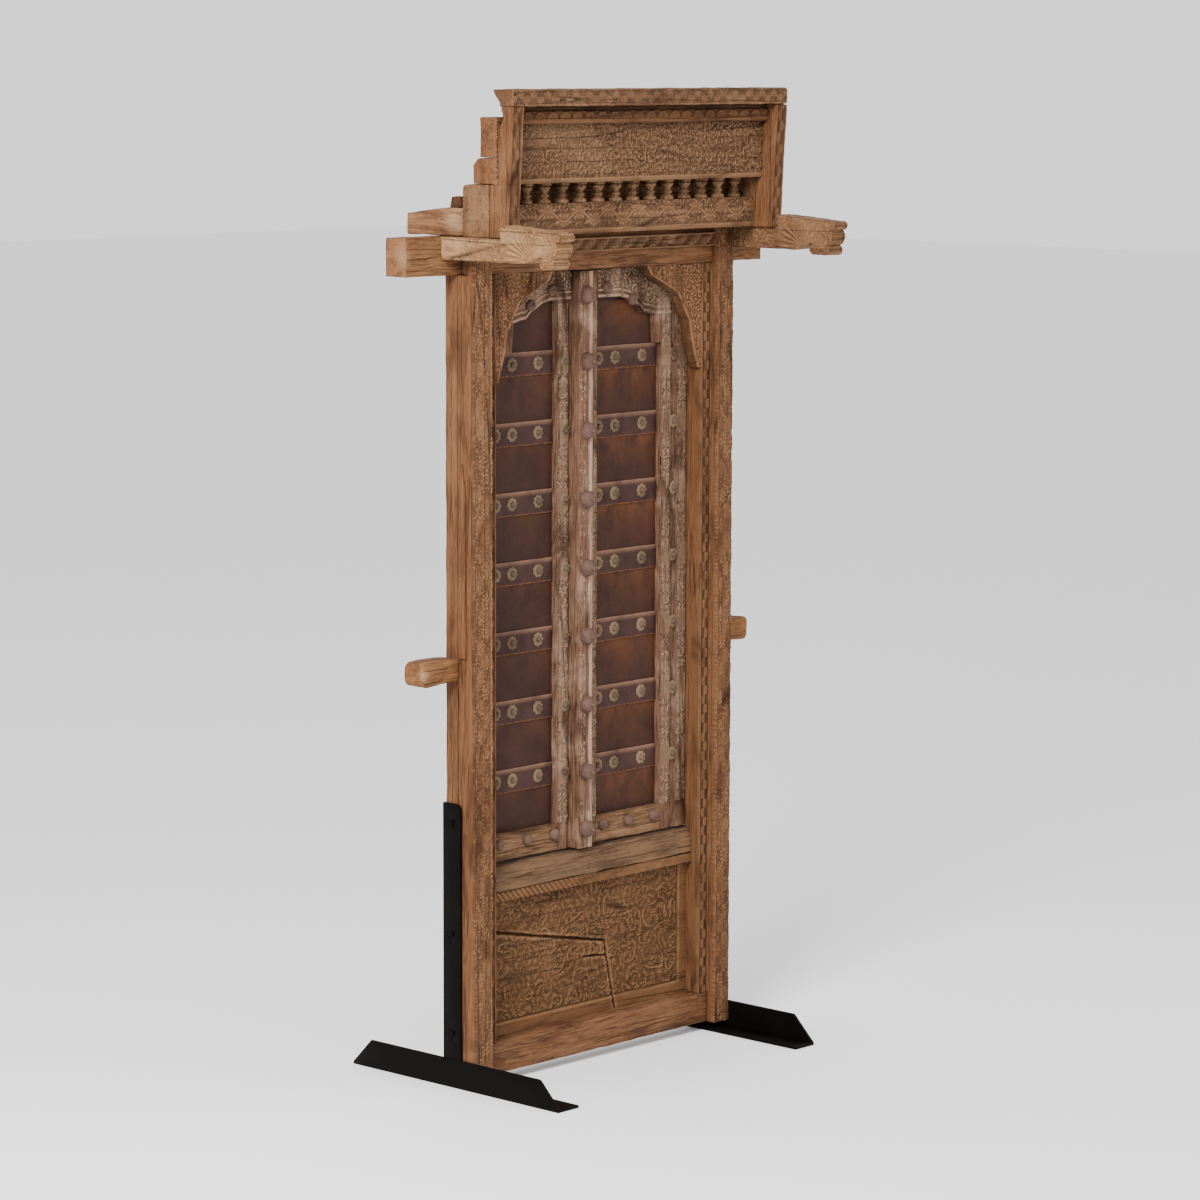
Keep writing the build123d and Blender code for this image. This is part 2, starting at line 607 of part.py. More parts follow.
# Brackets: a flat shelf, a raised head that ends in a curl, and a hanging bud under it
for name, side in SIDES.items():
    shelf = HEAD_TOP
    under = HEAD_TOP - BRACKET_HEIGHT
    head_back = -(BRACKET_REACH - BRACKET_HEAD_LENGTH)
    head_top = shelf + BRACKET_HEAD_RISE
    tip = -BRACKET_REACH
    bud_front = tip + BUD_SETBACK
    bud_back = bud_front + BUD_LENGTHS[name]
    bud_base = under - BUD_DROP
    with BuildPart() as bracket:
        with BuildSketch(profile_at(side * HALF_WIDTH)):
            with BuildLine():
                Line((HEAD_RAIL_BACK, under), (HEAD_RAIL_BACK, shelf))
                Line((HEAD_RAIL_BACK, shelf), (head_back, shelf))
                Line((head_back, shelf), (head_back, head_top))
                Line((head_back, head_top), (tip + CURL_RADIUS, head_top - BRACKET_HEAD_FALL))
                ThreePointArc(
                    (tip + CURL_RADIUS, head_top - BRACKET_HEAD_FALL),
                    (tip, head_top - BRACKET_HEAD_FALL - CURL_RADIUS * 0.8),
                    (tip + CURL_RADIUS, head_top - BRACKET_HEAD_FALL - CURL_RADIUS * 1.6),
                )
                ThreePointArc(
                    (tip + CURL_RADIUS, head_top - BRACKET_HEAD_FALL - CURL_RADIUS * 1.6),
                    (tip + CURL_RADIUS * 0.7, under + BRACKET_HEIGHT / 2),
                    (bud_front, under + BRACKET_HEIGHT / 4),
                )
                ThreePointArc(
                    (bud_front, under + BRACKET_HEIGHT / 4),
                    (bud_front - BUD_DROP / 2, under),
                    (bud_front + BUD_DROP, bud_base),
                )
                Line((bud_front + BUD_DROP, bud_base), (bud_back - BUD_DROP, bud_base))
                ThreePointArc(
                    (bud_back - BUD_DROP, bud_base),
                    (bud_back + BUD_DROP / 2, under),
                    (bud_back, under + BRACKET_HEIGHT / 3),
                )
                ThreePointArc(
                    (bud_back, under + BRACKET_HEIGHT / 3),
                    (bud_back + BRACKET_HEIGHT * 0.4, under + BRACKET_HEIGHT * 0.17),
                    (bud_back + BRACKET_HEIGHT, under),
                )
                Line((bud_back + BRACKET_HEIGHT, under), (HEAD_RAIL_BACK, under))
            make_face()
        extrude(amount=side * BRACKET_WIDTH)
    save(bracket.part, f"{name}_bracket")

# Lower beam of the header: it carries the lower carving in front and has a rebate for the balusters
with BuildPart() as header_lower_beam:
    with BuildSketch(profile_at(-HEADER_HALF_WIDTH)) as beam_section:
        rectangle(LOWER_BEAM_FRONT, LOWER_BEAM_BACK, HEADER_BASE, LOWER_BEAM_TOP)
        fillet(beam_section.vertices().group_by(Axis.Z)[-1].sort_by(Axis.Y)[-1], LOWER_BEAM_ROUND)
    extrude(amount=2 * HEADER_HALF_WIDTH)
    with BuildSketch(profile_at(-HEADER_INSIDE)):
        rectangle(LOWER_BEAM_FRONT, LOWER_BEAM_FRONT + REBATE_DEPTH, LOWER_BEAM_TOP - REBATE_HEIGHT, LOWER_BEAM_TOP)
    extrude(amount=2 * HEADER_INSIDE, mode=Mode.SUBTRACT)
save(header_lower_beam.part, "header_lower_beam")

# Balusters: a wide foot, a ring between two necks and a vase, cut with flat facets
BALUSTER_BASE = LOWER_BEAM_TOP - REBATE_HEIGHT
BALUSTER_DEPTH = LOWER_BEAM_FRONT + REBATE_DEPTH / 2
BALUSTER_PITCH = 2 * (HEADER_INSIDE - BALUSTER_END) / (BALUSTER_COUNT - 1)
baluster = faceted(BALUSTER_PROFILE, BALUSTER_SIDES)
with BuildPart() as header_balusters:
    with Locations((0, FRONT_Y + BALUSTER_DEPTH, BALUSTER_BASE)):
        with GridLocations(BALUSTER_PITCH, 1, BALUSTER_COUNT, 1):
            add(baluster)
save(header_balusters.part, "header_balusters")

# Carved panel of the header
with BuildPart() as header_upper_panel:
    with BuildSketch(elevation_at(UPPER_PANEL_BACK)):
        rectangle(-HEADER_HALF_WIDTH, HEADER_HALF_WIDTH, LOWER_BEAM_TOP, UPPER_PANEL_TOP)
    extrude(amount=UPPER_PANEL_THICK)
save(header_upper_panel.part, "header_upper_panel")

# Middle board behind the panel, undercut along its lower back edge
with BuildPart() as header_middle_board:
    with BuildSketch(profile_at(-HEADER_HALF_WIDTH)) as middle_section:
        rectangle(
            UPPER_PANEL_BACK,
            UPPER_PANEL_BACK + MIDDLE_BOARD_THICK,
            LOWER_BEAM_TOP,
            LOWER_BEAM_TOP + MIDDLE_BOARD_HEIGHT,
        )
        chamfer(middle_section.vertices().group_by(Axis.Z)[0].sort_by(Axis.Y)[-1], MIDDLE_BOARD_CUT)
    extrude(amount=2 * HEADER_HALF_WIDTH)
save(header_middle_board.part, "header_middle_board")

# Upper board behind the panel
with BuildPart() as header_upper_board:
    with BuildSketch(section_at(LOWER_BEAM_TOP + MIDDLE_BOARD_HEIGHT)):
        rectangle(-HEADER_HALF_WIDTH, HEADER_HALF_WIDTH, UPPER_PANEL_BACK, UPPER_PANEL_BACK + UPPER_BOARD_THICK)
    extrude(amount=UPPER_PANEL_HEIGHT - MIDDLE_BOARD_HEIGHT)
save(header_upper_board.part, "header_upper_board")

# Posts of the header: they lean forward, stand on the bracket shelves and widen at the foot
for name, side in SIDES.items():
    with BuildPart() as header_post:
        with BuildSketch(profile_at(side * HEADER_HALF_WIDTH)):
            with BuildLine():
                Polyline(
                    (LOWER_BEAM_FRONT, HEADER_BASE),
                    (HEADER_FRONT_LOW, HEADER_BASE),
                    (HEADER_FRONT_LOW, HEADER_BASE + BRACKET_HEAD_RISE),
                    (HEADER_FRONT_HIGH, TOP_RAIL_BASE),
                    (HEADER_FRONT_HIGH + TOP_RAIL_FLAT, TOP_RAIL_BASE),
                    (UPPER_PANEL_FRONT, UPPER_PANEL_TOP - TOP_RAIL_BEVEL),
                    (UPPER_PANEL_FRONT, LOWER_BEAM_TOP),
                    (LOWER_BEAM_FRONT, LOWER_BEAM_TOP),
                    close=True,
                )
            make_face()
        extrude(amount=-side * HEADER_POST_WIDTH)
    save(header_post.part, f"header_{name}_post")

# Top rail, undercut at the back, with rounded upper corners
with BuildPart() as header_top_rail:
    with BuildSketch(profile_at(-HEADER_HALF_WIDTH)):
        with BuildLine():
            Polyline(
                (HEADER_FRONT_HIGH, TOP_RAIL_BASE),
                (HEADER_FRONT_HIGH, HEADER_TOP),
                (HEADER_FRONT_HIGH + TOP_RAIL_DEPTH, HEADER_TOP),
                (HEADER_FRONT_HIGH + TOP_RAIL_DEPTH - TOP_RAIL_BEVEL, TOP_RAIL_BASE + TOP_RAIL_FLAT / 2),
                (HEADER_FRONT_HIGH + TOP_RAIL_DEPTH - TOP_RAIL_BEVEL, TOP_RAIL_BASE),
                close=True,
            )
        make_face()
    extrude(amount=2 * HEADER_HALF_WIDTH)
    fillet(header_top_rail.edges().filter_by(Axis.Y).group_by(Axis.Z)[-1], TOP_RAIL_ROUND)
save(header_top_rail.part, "header_top_rail")

# Cornice under the top rail, scalloped along its lower edge
SCALLOP_PITCH = 2 * HEADER_INSIDE / SCALLOP_COUNT
with BuildPart() as header_cornice:
    with BuildSketch(elevation_at(UPPER_PANEL_FRONT)):
        rectangle(-HEADER_INSIDE, HEADER_INSIDE, CORNICE_BASE, TOP_RAIL_BASE)
    extrude(amount=CORNICE_THICK)
    with BuildSketch(elevation_at(CORNICE_FRONT + SCALLOP_DEPTH)):
        with Locations((0, CORNICE_BASE + CORNICE_HEIGHT / 2)):
            with GridLocations(SCALLOP_PITCH, 1, SCALLOP_COUNT, 1):
                Trapezoid(SCALLOP_PITCH - SCALLOP_LAND, SCALLOP_HEIGHT, SCALLOP_ANGLE)
    extrude(amount=SCALLOP_DEPTH, mode=Mode.SUBTRACT)
save(header_cornice.part, "header_cornice")


def place_forward(part, x, depth, z):
    """A copy of a piece made on the floor plane, turned to face forward at a place."""
    return Location((x, FRONT_Y + depth, z), (90, 0, 0)) * part


stud = dome(STUD_RADIUS, STUD_HEIGHT, STUD_RIM, NAIL_RADIUS)
boss = dome(BOSS_RADIUS, BOSS_HEIGHT, BOSS_RIM, NAIL_RADIUS)

# Rosette: an eight sided plate with the head of its nail
with BuildPart() as rosette:
    with BuildSketch():
        RegularPolygon(ROSETTE_RADIUS, ROSETTE_LOBES)
    extrude(amount=ROSETTE_THICK)
    with BuildSketch(Plane.XY.offset(ROSETTE_THICK)):
        RegularPolygon(NAIL_RADIUS, ROSETTE_LOBES)
    extrude(amount=NAIL_HEIGHT, taper=NAIL_TAPER)

# The two leaves. Distances across a leaf run from its reveal towards the meeting line.
for name, side in SIDES.items():
    meeting_x = side * MEETING_GAP / 2
    meeting_inner_x = side * (MEETING_GAP / 2 + MEETING_STILE_WIDTH[name])
    stile_inner_x = side * (REVEAL_X - STILE_IN_VIEW[name])
    body = f"{name}_leaf"

    # Hanging stile: its heel is round about the pivot, and its pins are turned from the same wood
    with BuildPart() as hanging_stile:
        with BuildSketch(section_at(LEAF_BASE)):
            rectangle(side * PIVOT_X, stile_inner_x, LEAF_FRONT, LEAF_BACK)
            with Locations((side * PIVOT_X, PIVOT_DEPTH)):
                Circle(HEEL_RADIUS)
            groove_outer_x = stile_inner_x + side * STRIP_WIDTH
            groove_inner_x = groove_outer_x + side * min(GROOVE_WIDTH["right"], STILE_IN_VIEW[name] - STRIP_WIDTH)
            with Locations(((groove_outer_x + groove_inner_x) / 2, LEAF_FRONT + GROOVE_DEPTH / 2)):
                Rectangle(abs(groove_outer_x - groove_inner_x), GROOVE_DEPTH, mode=Mode.SUBTRACT)
        extrude(amount=LEAF_TOP - LEAF_BASE)
        with BuildSketch(section_at(LEAF_BASE)):
            with Locations((side * PIVOT_X, PIVOT_DEPTH)):
                Circle(PIN_RADIUS)
        extrude(amount=-PIN_LENGTH)
        with BuildSketch(section_at(LEAF_TOP)):
            with Locations((side * PIVOT_X, PIVOT_DEPTH)):
                Circle(PIN_RADIUS)
        extrude(amount=PIN_LENGTH)
        if name == "right":
            with BuildSketch(elevation_at(LEAF_FRONT + SLOT_DEPTH)):
                with Locations(*[(stile_inner_x + side * (SLOT_EDGE + SLOT_WIDTH / 2), z) for z in STRAP_LEVELS]):
                    Rectangle(SLOT_WIDTH, STRAP_HEIGHT)
            extrude(amount=SLOT_DEPTH, mode=Mode.SUBTRACT)
    save(hanging_stile.part, f"{body}_hanging_stile")

    # Meeting stile
    with BuildPart() as meeting_stile:
        with BuildSketch(section_at(LEAF_BASE)):
            rectangle(meeting_x, meeting_inner_x, LEAF_FRONT, LEAF_BACK)
            if name == "left":
                cover_x = meeting_x + side * ASTRAGAL_WIDTH
                with Locations((cover_x + side * GROOVE_WIDTH[name] / 2, LEAF_FRONT + GROOVE_DEPTH / 2)):
                    Rectangle(GROOVE_WIDTH[name], GROOVE_DEPTH, mode=Mode.SUBTRACT)
        extrude(amount=LEAF_TOP - LEAF_BASE)
        if name == "left":
            with BuildSketch(elevation_at(LEAF_FRONT + SLOT_DEPTH)):
                with Locations(*[(meeting_inner_x - side * (SLOT_EDGE + SLOT_WIDTH / 2), z) for z in STRAP_LEVELS]):
                    Rectangle(SLOT_WIDTH, STRAP_HEIGHT)
            extrude(amount=SLOT_DEPTH, mode=Mode.SUBTRACT)
    save(meeting_stile.part, f"{body}_meeting_stile")

    # Bottom rail, with a groove along the top of its carved edge
    with BuildPart() as leaf_rail:
        with BuildSketch(elevation_at(LEAF_BACK)):
            rectangle(stile_inner_x, meeting_inner_x, LEAF_BASE, LEAF_BASE + LEAF_RAIL_HEIGHT)
        extrude(amount=LEAF_THICK)
        with BuildSketch(elevation_at(LEAF_FRONT + GROOVE_DEPTH / 2)):
            rectangle(
                stile_inner_x,
                meeting_inner_x,
                LEAF_BASE + RAIL_GROOVE_HEIGHT,
                LEAF_BASE + RAIL_GROOVE_HEIGHT + GROOVE_DEPTH / 2,
            )
        extrude(amount=GROOVE_DEPTH / 2, mode=Mode.SUBTRACT)
    save(leaf_rail.part, f"{body}_bottom_rail")

    # Arch head: flat at the middle, then three cusps down to a leg beside the hanging stile
    with BuildPart() as arch_head:
        with BuildSketch(elevation_at(SHEET_FRONT)):
            arch_top = LEAF_TOP - ARCH_TOP_DROP
            leg_x = side * (REVEAL_X - ARCH_LEG)
            flat_x = side * ARCH_FLAT_HALF
            flat_start = (meeting_inner_x, arch_top)
            flat_end = (flat_x, arch_top)
            curve = [(flat_x + share * (leg_x - flat_x), arch_top - fall) for share, fall in ARCH_CURVE]
            leg_top = (leg_x - side * ARCH_LEG_LEAN, arch_top - ARCH_LEG_DROP)
            leg_foot = (leg_x, LEAF_TOP - ARCH_HEAD_DROP)
            with BuildLine():
                Line((meeting_inner_x, LEAF_TOP), flat_start)
                Line(flat_start, flat_end)
                ThreePointArc(flat_end, curve[0], curve[1])
                ThreePointArc(curve[1], curve[2], curve[3])
                ThreePointArc(curve[3], curve[4], leg_top)
                Line(leg_top, leg_foot)
                Line(leg_foot, (stile_inner_x, LEAF_TOP - ARCH_HEAD_DROP))
                Line((stile_inner_x, LEAF_TOP - ARCH_HEAD_DROP), (stile_inner_x, LEAF_TOP))
                Line((stile_inner_x, LEAF_TOP), (meeting_inner_x, LEAF_TOP))
            make_face()
        extrude(amount=SHEET_SETBACK)
    save(arch_head.part, f"{body}_arch_head")

    # Backing planks behind the sheet
    plank_width = (stile_inner_x - meeting_inner_x) / PLANK_COUNT
    with BuildPart() as plank:
        with BuildSketch(elevation_at(LEAF_BACK)):
            rectangle(meeting_inner_x, meeting_inner_x + plank_width, LEAF_BASE + LEAF_RAIL_HEIGHT, LEAF_TOP)
        extrude(amount=LEAF_BACK - SHEET_BACK)
        chamfer(plank.edges().filter_by(Axis.Z).group_by(Axis.Y)[-1], PLANK_CUT)
    planks = [Location((plank_width * i, 0, 0)) * plank.part for i in range(PLANK_COUNT)]
    save(Part(children=planks), f"{body}_planks")

    # Iron sheet
    with BuildPart() as sheet:
        with BuildSketch(elevation_at(SHEET_BACK)):
            rectangle(stile_inner_x, meeting_inner_x, LEAF_BASE + LEAF_RAIL_HEIGHT, LEAF_TOP - SHEET_TOP_COVER)
        extrude(amount=SHEET_THICK)
    save(sheet.part, f"{body}_iron_sheet")

    # Straps across the sheet
    with BuildPart() as straps:
        with BuildSketch(elevation_at(SHEET_FRONT)):
            for z in STRAP_LEVELS:
                rectangle(stile_inner_x, meeting_inner_x, z - STRAP_HEIGHT / 2, z + STRAP_HEIGHT / 2)
        extrude(amount=STRAP_THICK)
    save(straps.part, f"{body}_straps")

    # Rosettes on the straps, and one at each level on the wider stile
    sheet_left_x = min(stile_inner_x, meeting_inner_x)
    sheet_width = abs(stile_inner_x - meeting_inner_x)
    if name == "left":
        stile_rosette_x = cover_x - ROSETTE_RADIUS - ROSETTE_GAP
    else:
        stile_rosette_x = stile_inner_x + side * (STRIP_WIDTH + GROOVE_WIDTH["right"] / 2)
    rosettes = []
    for z in STRAP_LEVELS:
        for share in ROSETTE_SHARES:
            across = ROSETTE_EDGE + share * (sheet_width - ROSETTE_EDGE)
            rosettes.append(place_forward(rosette.part, sheet_left_x + across, STRAP_FRONT, z))
        rosettes.append(place_forward(rosette.part, stile_rosette_x, LEAF_FRONT, z))
    save(Part(children=rosettes), f"{body}_rosettes")

    # Domed studs along the bottom rail and on the arch head
    studs = []
    outer_stud_x = stile_inner_x - side * STUD_HANGING_EDGE[name]
    inner_stud_x = meeting_inner_x + side * STUD_MEETING_EDGE[name]
    for x in (outer_stud_x, (outer_stud_x + inner_stud_x) / 2, inner_stud_x):
        studs.append(place_forward(stud, x, LEAF_FRONT, LEAF_BASE + STUD_RISE))
    for inset, drop in zip(ARCH_STUD_INSETS[name], ARCH_STUD_DROPS):
        studs.append(place_forward(stud, meeting_inner_x + side * inset, LEAF_FRONT, LEAF_TOP - drop))
    save(Part(children=studs), f"{body}_studs")

# Astragal on the left leaf: a flat carved part and a bead beside the meeting line
astragal_x = -MEETING_GAP / 2
astragal_front = LEAF_FRONT - ASTRAGAL_THICK
with BuildPart() as astragal:
    with BuildSketch(section_at(LEAF_BASE)) as astragal_section:
        rectangle(astragal_x - ASTRAGAL_WIDTH, astragal_x, astragal_front, LEAF_FRONT)
        fillet(astragal_section.vertices().group_by(Axis.Y)[0].sort_by(Axis.X)[-1], ASTRAGAL_BEAD / 2)
        with Locations((astragal_x - ASTRAGAL_BEAD, astragal_front)):
            Rectangle(QUIRK_WIDTH, QUIRK_DEPTH, align=(Align.CENTER, Align.MIN), mode=Mode.SUBTRACT)
    extrude(amount=LEAF_TOP - LEAF_BASE)
save(astragal.part, "left_leaf_astragal")

# Bosses on the astragal
boss_x = astragal_x - ASTRAGAL_WIDTH / 2
boss_levels = [LEAF_BASE + FOOT_BOSS_RISE, *STRAP_LEVELS, LEAF_TOP - TOP_BOSS_DROP]
bosses = [place_forward(boss, boss_x, astragal_front, z) for z in boss_levels]
save(Part(children=bosses), "left_leaf_bosses")

# Feet of steel angle: the upright leg stands outside the frame and its ends are cut back
for name, side in SIDES.items():
    outer_x = HALF_WIDTH + FOOT_THICK
    with BuildPart() as foot:
        with BuildSketch(elevation_at(FOOT_BACK)) as angle_section:
            rectangle(side * outer_x, side * (outer_x - FOOT_LEG), 0, FOOT_THICK)
            rectangle(side * outer_x, side * HALF_WIDTH, 0, FOOT_LEG)
            root = angle_section.vertices().sort_by_distance((side * HALF_WIDTH, FRONT_Y + FOOT_BACK, FOOT_THICK))[0]
            fillet(root, ANGLE_ROOT)
        extrude(amount=FOOT_BACK + FOOT_FRONT)
        for end, inward in ((-FOOT_FRONT, 1), (FOOT_BACK, -1)):
            with BuildSketch(profile_at(side * outer_x)):
                with BuildLine():
                    Polyline(
                        (end, FOOT_THICK),
                        (end, FOOT_LEG),
                        (end + inward * FOOT_END_CUT, FOOT_LEG),
                        close=True,
                    )
                make_face()
            extrude(amount=-side * (FOOT_LEG + FOOT_THICK), mode=Mode.SUBTRACT)
    save(foot.part, f"{name}_foot")

# Uprights of steel angle: one leg on the side of the frame, the other behind it
for name, side in SIDES.items():
    back_depth = REAR_POST_BACK + UPRIGHT_THICK
    outer_x = HALF_WIDTH + UPRIGHT_THICK
    with BuildPart() as upright:
        with BuildSketch(section_at(FOOT_LEG)) as upright_section:
            rectangle(side * outer_x, side * HALF_WIDTH, back_depth - UPRIGHT_LEG, back_depth)
            rectangle(side * outer_x, side * (outer_x - UPRIGHT_LEG), REAR_POST_BACK, back_depth)
        extrude(amount=UPRIGHT_TOP - FOOT_LEG)
        top_corner = upright.edges().filter_by(Axis.X).group_by(Axis.Y)[0].sort_by(Axis.Z)[-1]
        fillet(top_corner, UPRIGHT_CORNER)
        with BuildSketch(profile_at(side * HALF_WIDTH)):
            with Locations(*[(SCREW_SETBACK, height) for height in SCREW_HEIGHTS]):
                Circle(SCREW_RADIUS + SCREW_CLEARANCE)
        extrude(amount=side * UPRIGHT_THICK, mode=Mode.SUBTRACT)
    save(upright.part, f"{name}_upright")

# Screws through the uprights into the rear posts
with BuildPart() as screw:
    with BuildSketch():
        RegularPolygon(SCREW_RADIUS, DOME_SIDES)
    extrude(amount=-SCREW_LENGTH)
    with BuildSketch():
        RegularPolygon(SCREW_HEAD_RADIUS, DOME_SIDES)
    extrude(amount=SCREW_HEAD_HEIGHT)
screws = []
for side in SIDES.values():
    for height in SCREW_HEIGHTS:
        seat = (side * (HALF_WIDTH + UPRIGHT_THICK), FRONT_Y + SCREW_SETBACK, height)
        screws.append(Location(seat, (0, side * 90, 0)) * screw.part)
save(Part(children=screws), "stand_screws")
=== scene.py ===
import bmesh
import bpy
import numpy as np
from math import cos, pi, radians, sin
from mathutils import Matrix, Vector


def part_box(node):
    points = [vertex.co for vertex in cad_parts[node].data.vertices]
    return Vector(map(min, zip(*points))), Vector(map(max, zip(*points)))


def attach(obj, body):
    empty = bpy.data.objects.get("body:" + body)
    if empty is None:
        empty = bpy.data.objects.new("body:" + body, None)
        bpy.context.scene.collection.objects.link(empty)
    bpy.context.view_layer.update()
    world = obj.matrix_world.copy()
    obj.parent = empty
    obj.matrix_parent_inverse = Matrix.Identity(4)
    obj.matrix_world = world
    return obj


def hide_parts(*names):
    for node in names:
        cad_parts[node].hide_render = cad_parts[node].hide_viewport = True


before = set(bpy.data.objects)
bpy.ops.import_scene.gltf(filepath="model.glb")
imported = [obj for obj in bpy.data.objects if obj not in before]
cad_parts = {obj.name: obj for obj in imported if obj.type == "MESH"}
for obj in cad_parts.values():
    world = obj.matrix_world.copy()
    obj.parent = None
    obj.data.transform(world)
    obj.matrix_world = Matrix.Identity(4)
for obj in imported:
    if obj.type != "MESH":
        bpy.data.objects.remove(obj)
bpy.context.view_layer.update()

# Camera: the photograph's viewpoint, level with the header and a little over six
# metres to the front left, with a long lens. Its roll is about an eighth of a degree.
swing, dip, tilt = radians(46.927), radians(7.588), radians(0.1505)
forward = Vector((sin(swing) * cos(dip), cos(swing) * cos(dip), -sin(dip)))
across = Vector((cos(swing), -sin(swing), 0))
upward = across.cross(forward)
camera_right = across * cos(tilt) + upward * sin(tilt)
camera_up = upward * cos(tilt) - across * sin(tilt)
PHOTO_WIDTH, FOCAL_PIXELS, SENSOR_WIDTH = 1200, 4125.8, 36
CAMERA_PLACE = (-6.2085, -5.822, 2.105)
camera_data = bpy.data.cameras.new("studio_camera")
camera_data.sensor_width = SENSOR_WIDTH
camera_data.lens = FOCAL_PIXELS / PHOTO_WIDTH * SENSOR_WIDTH
camera_data.clip_end = 60
camera = bpy.data.objects.new("studio_camera", camera_data)
turn = Matrix((camera_right, camera_up, -forward)).transposed().to_4x4()
camera.matrix_world = Matrix.Translation(CAMERA_PLACE) @ turn
bpy.context.scene.collection.objects.link(camera)
bpy.context.scene.camera = camera

# Studio: a pale seamless floor, a bright sky all round, a large soft light high on the
# left that grazes the carved front, and a weaker one from the right.
def new_material(name):
    """A material, with its node tree and its shader."""
    material = bpy.data.materials.new(name)
    material.use_nodes = True
    return material, material.node_tree, material.node_tree.nodes["Principled BSDF"]


floor_mesh = bpy.data.meshes.new("studio_floor")
shape = bmesh.new()
bmesh.ops.create_grid(shape, x_segments=1, y_segments=1, size=30)
shape.to_mesh(floor_mesh)
shape.free()
studio_floor = bpy.data.objects.new("studio_floor", floor_mesh)
bpy.context.scene.collection.objects.link(studio_floor)
pale_floor, _, floor_shader = new_material("pale_floor")
floor_shader.inputs["Base Color"].default_value = (0.9, 0.9, 0.9, 1)
floor_shader.inputs["Roughness"].default_value = 0.8
floor_mesh.materials.append(pale_floor)
sky = bpy.data.worlds.new("studio_sky")
sky.use_nodes = True
sky.node_tree.nodes["Background"].inputs["Color"].default_value = (1, 1, 1, 1)
sky.node_tree.nodes["Background"].inputs["Strength"].default_value = 1.35
bpy.context.scene.world = sky
LIT_POINT = Vector((0, 0, 1.1))
for lamp_name, place, size, power in (
    ("key_light", (-3.6, -1.6, 3.4), 1.8, 380),
    ("fill_light", (2.2, -4.6, 2.4), 2.4, 60),
):
    lamp_data = bpy.data.lights.new(lamp_name, "AREA")
    lamp_data.shape = "DISK"
    lamp_data.size = size
    lamp_data.energy = power
    lamp = bpy.data.objects.new(lamp_name, lamp_data)
    lamp.location = place
    lamp.rotation_euler = (LIT_POINT - Vector(place)).to_track_quat("-Z", "Y").to_euler()
    bpy.context.scene.collection.objects.link(lamp)


# Outer strips: the outermost upright boards, about 20 mm thick. A running vine is cut
# into the front of each one, with worn edges, and the side is planed and rubbed smooth.
def link(tree, source, target):
    tree.links.new(source, target)


def add_node(tree, kind, **settings):
    """A shader node with its settings, and with values for its inputs by name."""
    node = tree.nodes.new(kind)
    for key, value in settings.items():
        if key == "inputs":
            for name, number in value.items():
                node.inputs[name].default_value = number
        else:
            setattr(node, key, value)
    return node


MIX_SOCKETS, MIXED_COLOUR = (0, 6, 7), 2


def blend_colours(tree, factor, first, second):
    """Mixes two colours. Each of the three is a number, a colour or another node's output."""
    mix = add_node(tree, "ShaderNodeMix", data_type="RGBA")
    for socket, value in zip((mix.inputs[i] for i in MIX_SOCKETS), (factor, first, second)):
        if isinstance(value, bpy.types.NodeSocket):
            link(tree, value, socket)
        elif isinstance(value, (int, float)):
            socket.default_value = value
        else:
            socket.default_value = (*value, 1)
    return mix.outputs[MIXED_COLOUR]


def narrow(tree, value, low, high, to_low=0.0, to_high=1.0):
    """Maps a value between two limits onto another range, and clamps it."""
    span = add_node(tree, "ShaderNodeMapRange", clamp=True)
    for name, number in (("From Min", low), ("From Max", high), ("To Min", to_low), ("To Max", to_high)):
        span.inputs[name].default_value = number
    link(tree, value, span.inputs["Value"])
    return span.outputs["Result"]


def combine(tree, operation, first, second):
    """One sum, product or other operation on two values."""
    step = add_node(tree, "ShaderNodeMath", operation=operation)
    for socket, value in ((step.inputs[0], first), (step.inputs[1], second)):
        if isinstance(value, bpy.types.NodeSocket):
            link(tree, value, socket)
        else:
            socket.default_value = value
    return step.outputs[0]


def cloud(tree, coordinates, scale, detail, roughness=0.55, distortion=0.0):
    """A noise over the given coordinates, from 0 to 1."""
    noise = add_node(tree, "ShaderNodeTexNoise", inputs={
        "Scale": scale, "Detail": detail, "Roughness": roughness, "Distortion": distortion})
    link(tree, coordinates, noise.inputs["Vector"])
    return noise.outputs["Fac"]


def stretch(tree, coordinates, scale):
    """The coordinates with each axis scaled, which draws a pattern out along one of them."""
    mapping = add_node(tree, "ShaderNodeMapping", inputs={"Scale": scale})
    link(tree, coordinates, mapping.inputs["Vector"])
    return mapping.outputs["Vector"]


def along_grain(along, share):
    """The scale that draws a pattern out along the grain."""
    return tuple(share if axis == along else 1 for axis in "xyz")


def add_bump(tree, shader, height, strength, distance):
    """Small unevenness of the surface."""
    bump = add_node(tree, "ShaderNodeBump", inputs={"Strength": strength, "Distance": distance})
    link(tree, height, bump.inputs["Height"])
    link(tree, bump.outputs["Normal"], shader.inputs["Normal"])


# relief also darkens the carved ground, as dirt and painted shade; ridge_highlight paints a highlight on the ridges
SURFACE_VALUES = ("relief", "ridge_highlight", "carved")
GRAIN = {"x": (1, 0, 0), "y": (0, 1, 0), "z": (0, 0, 1)}
DEEP_CRACK, SUN_BLEACHED = (0.014, 0.006, 0.003), (0.35, 0.215, 0.125)


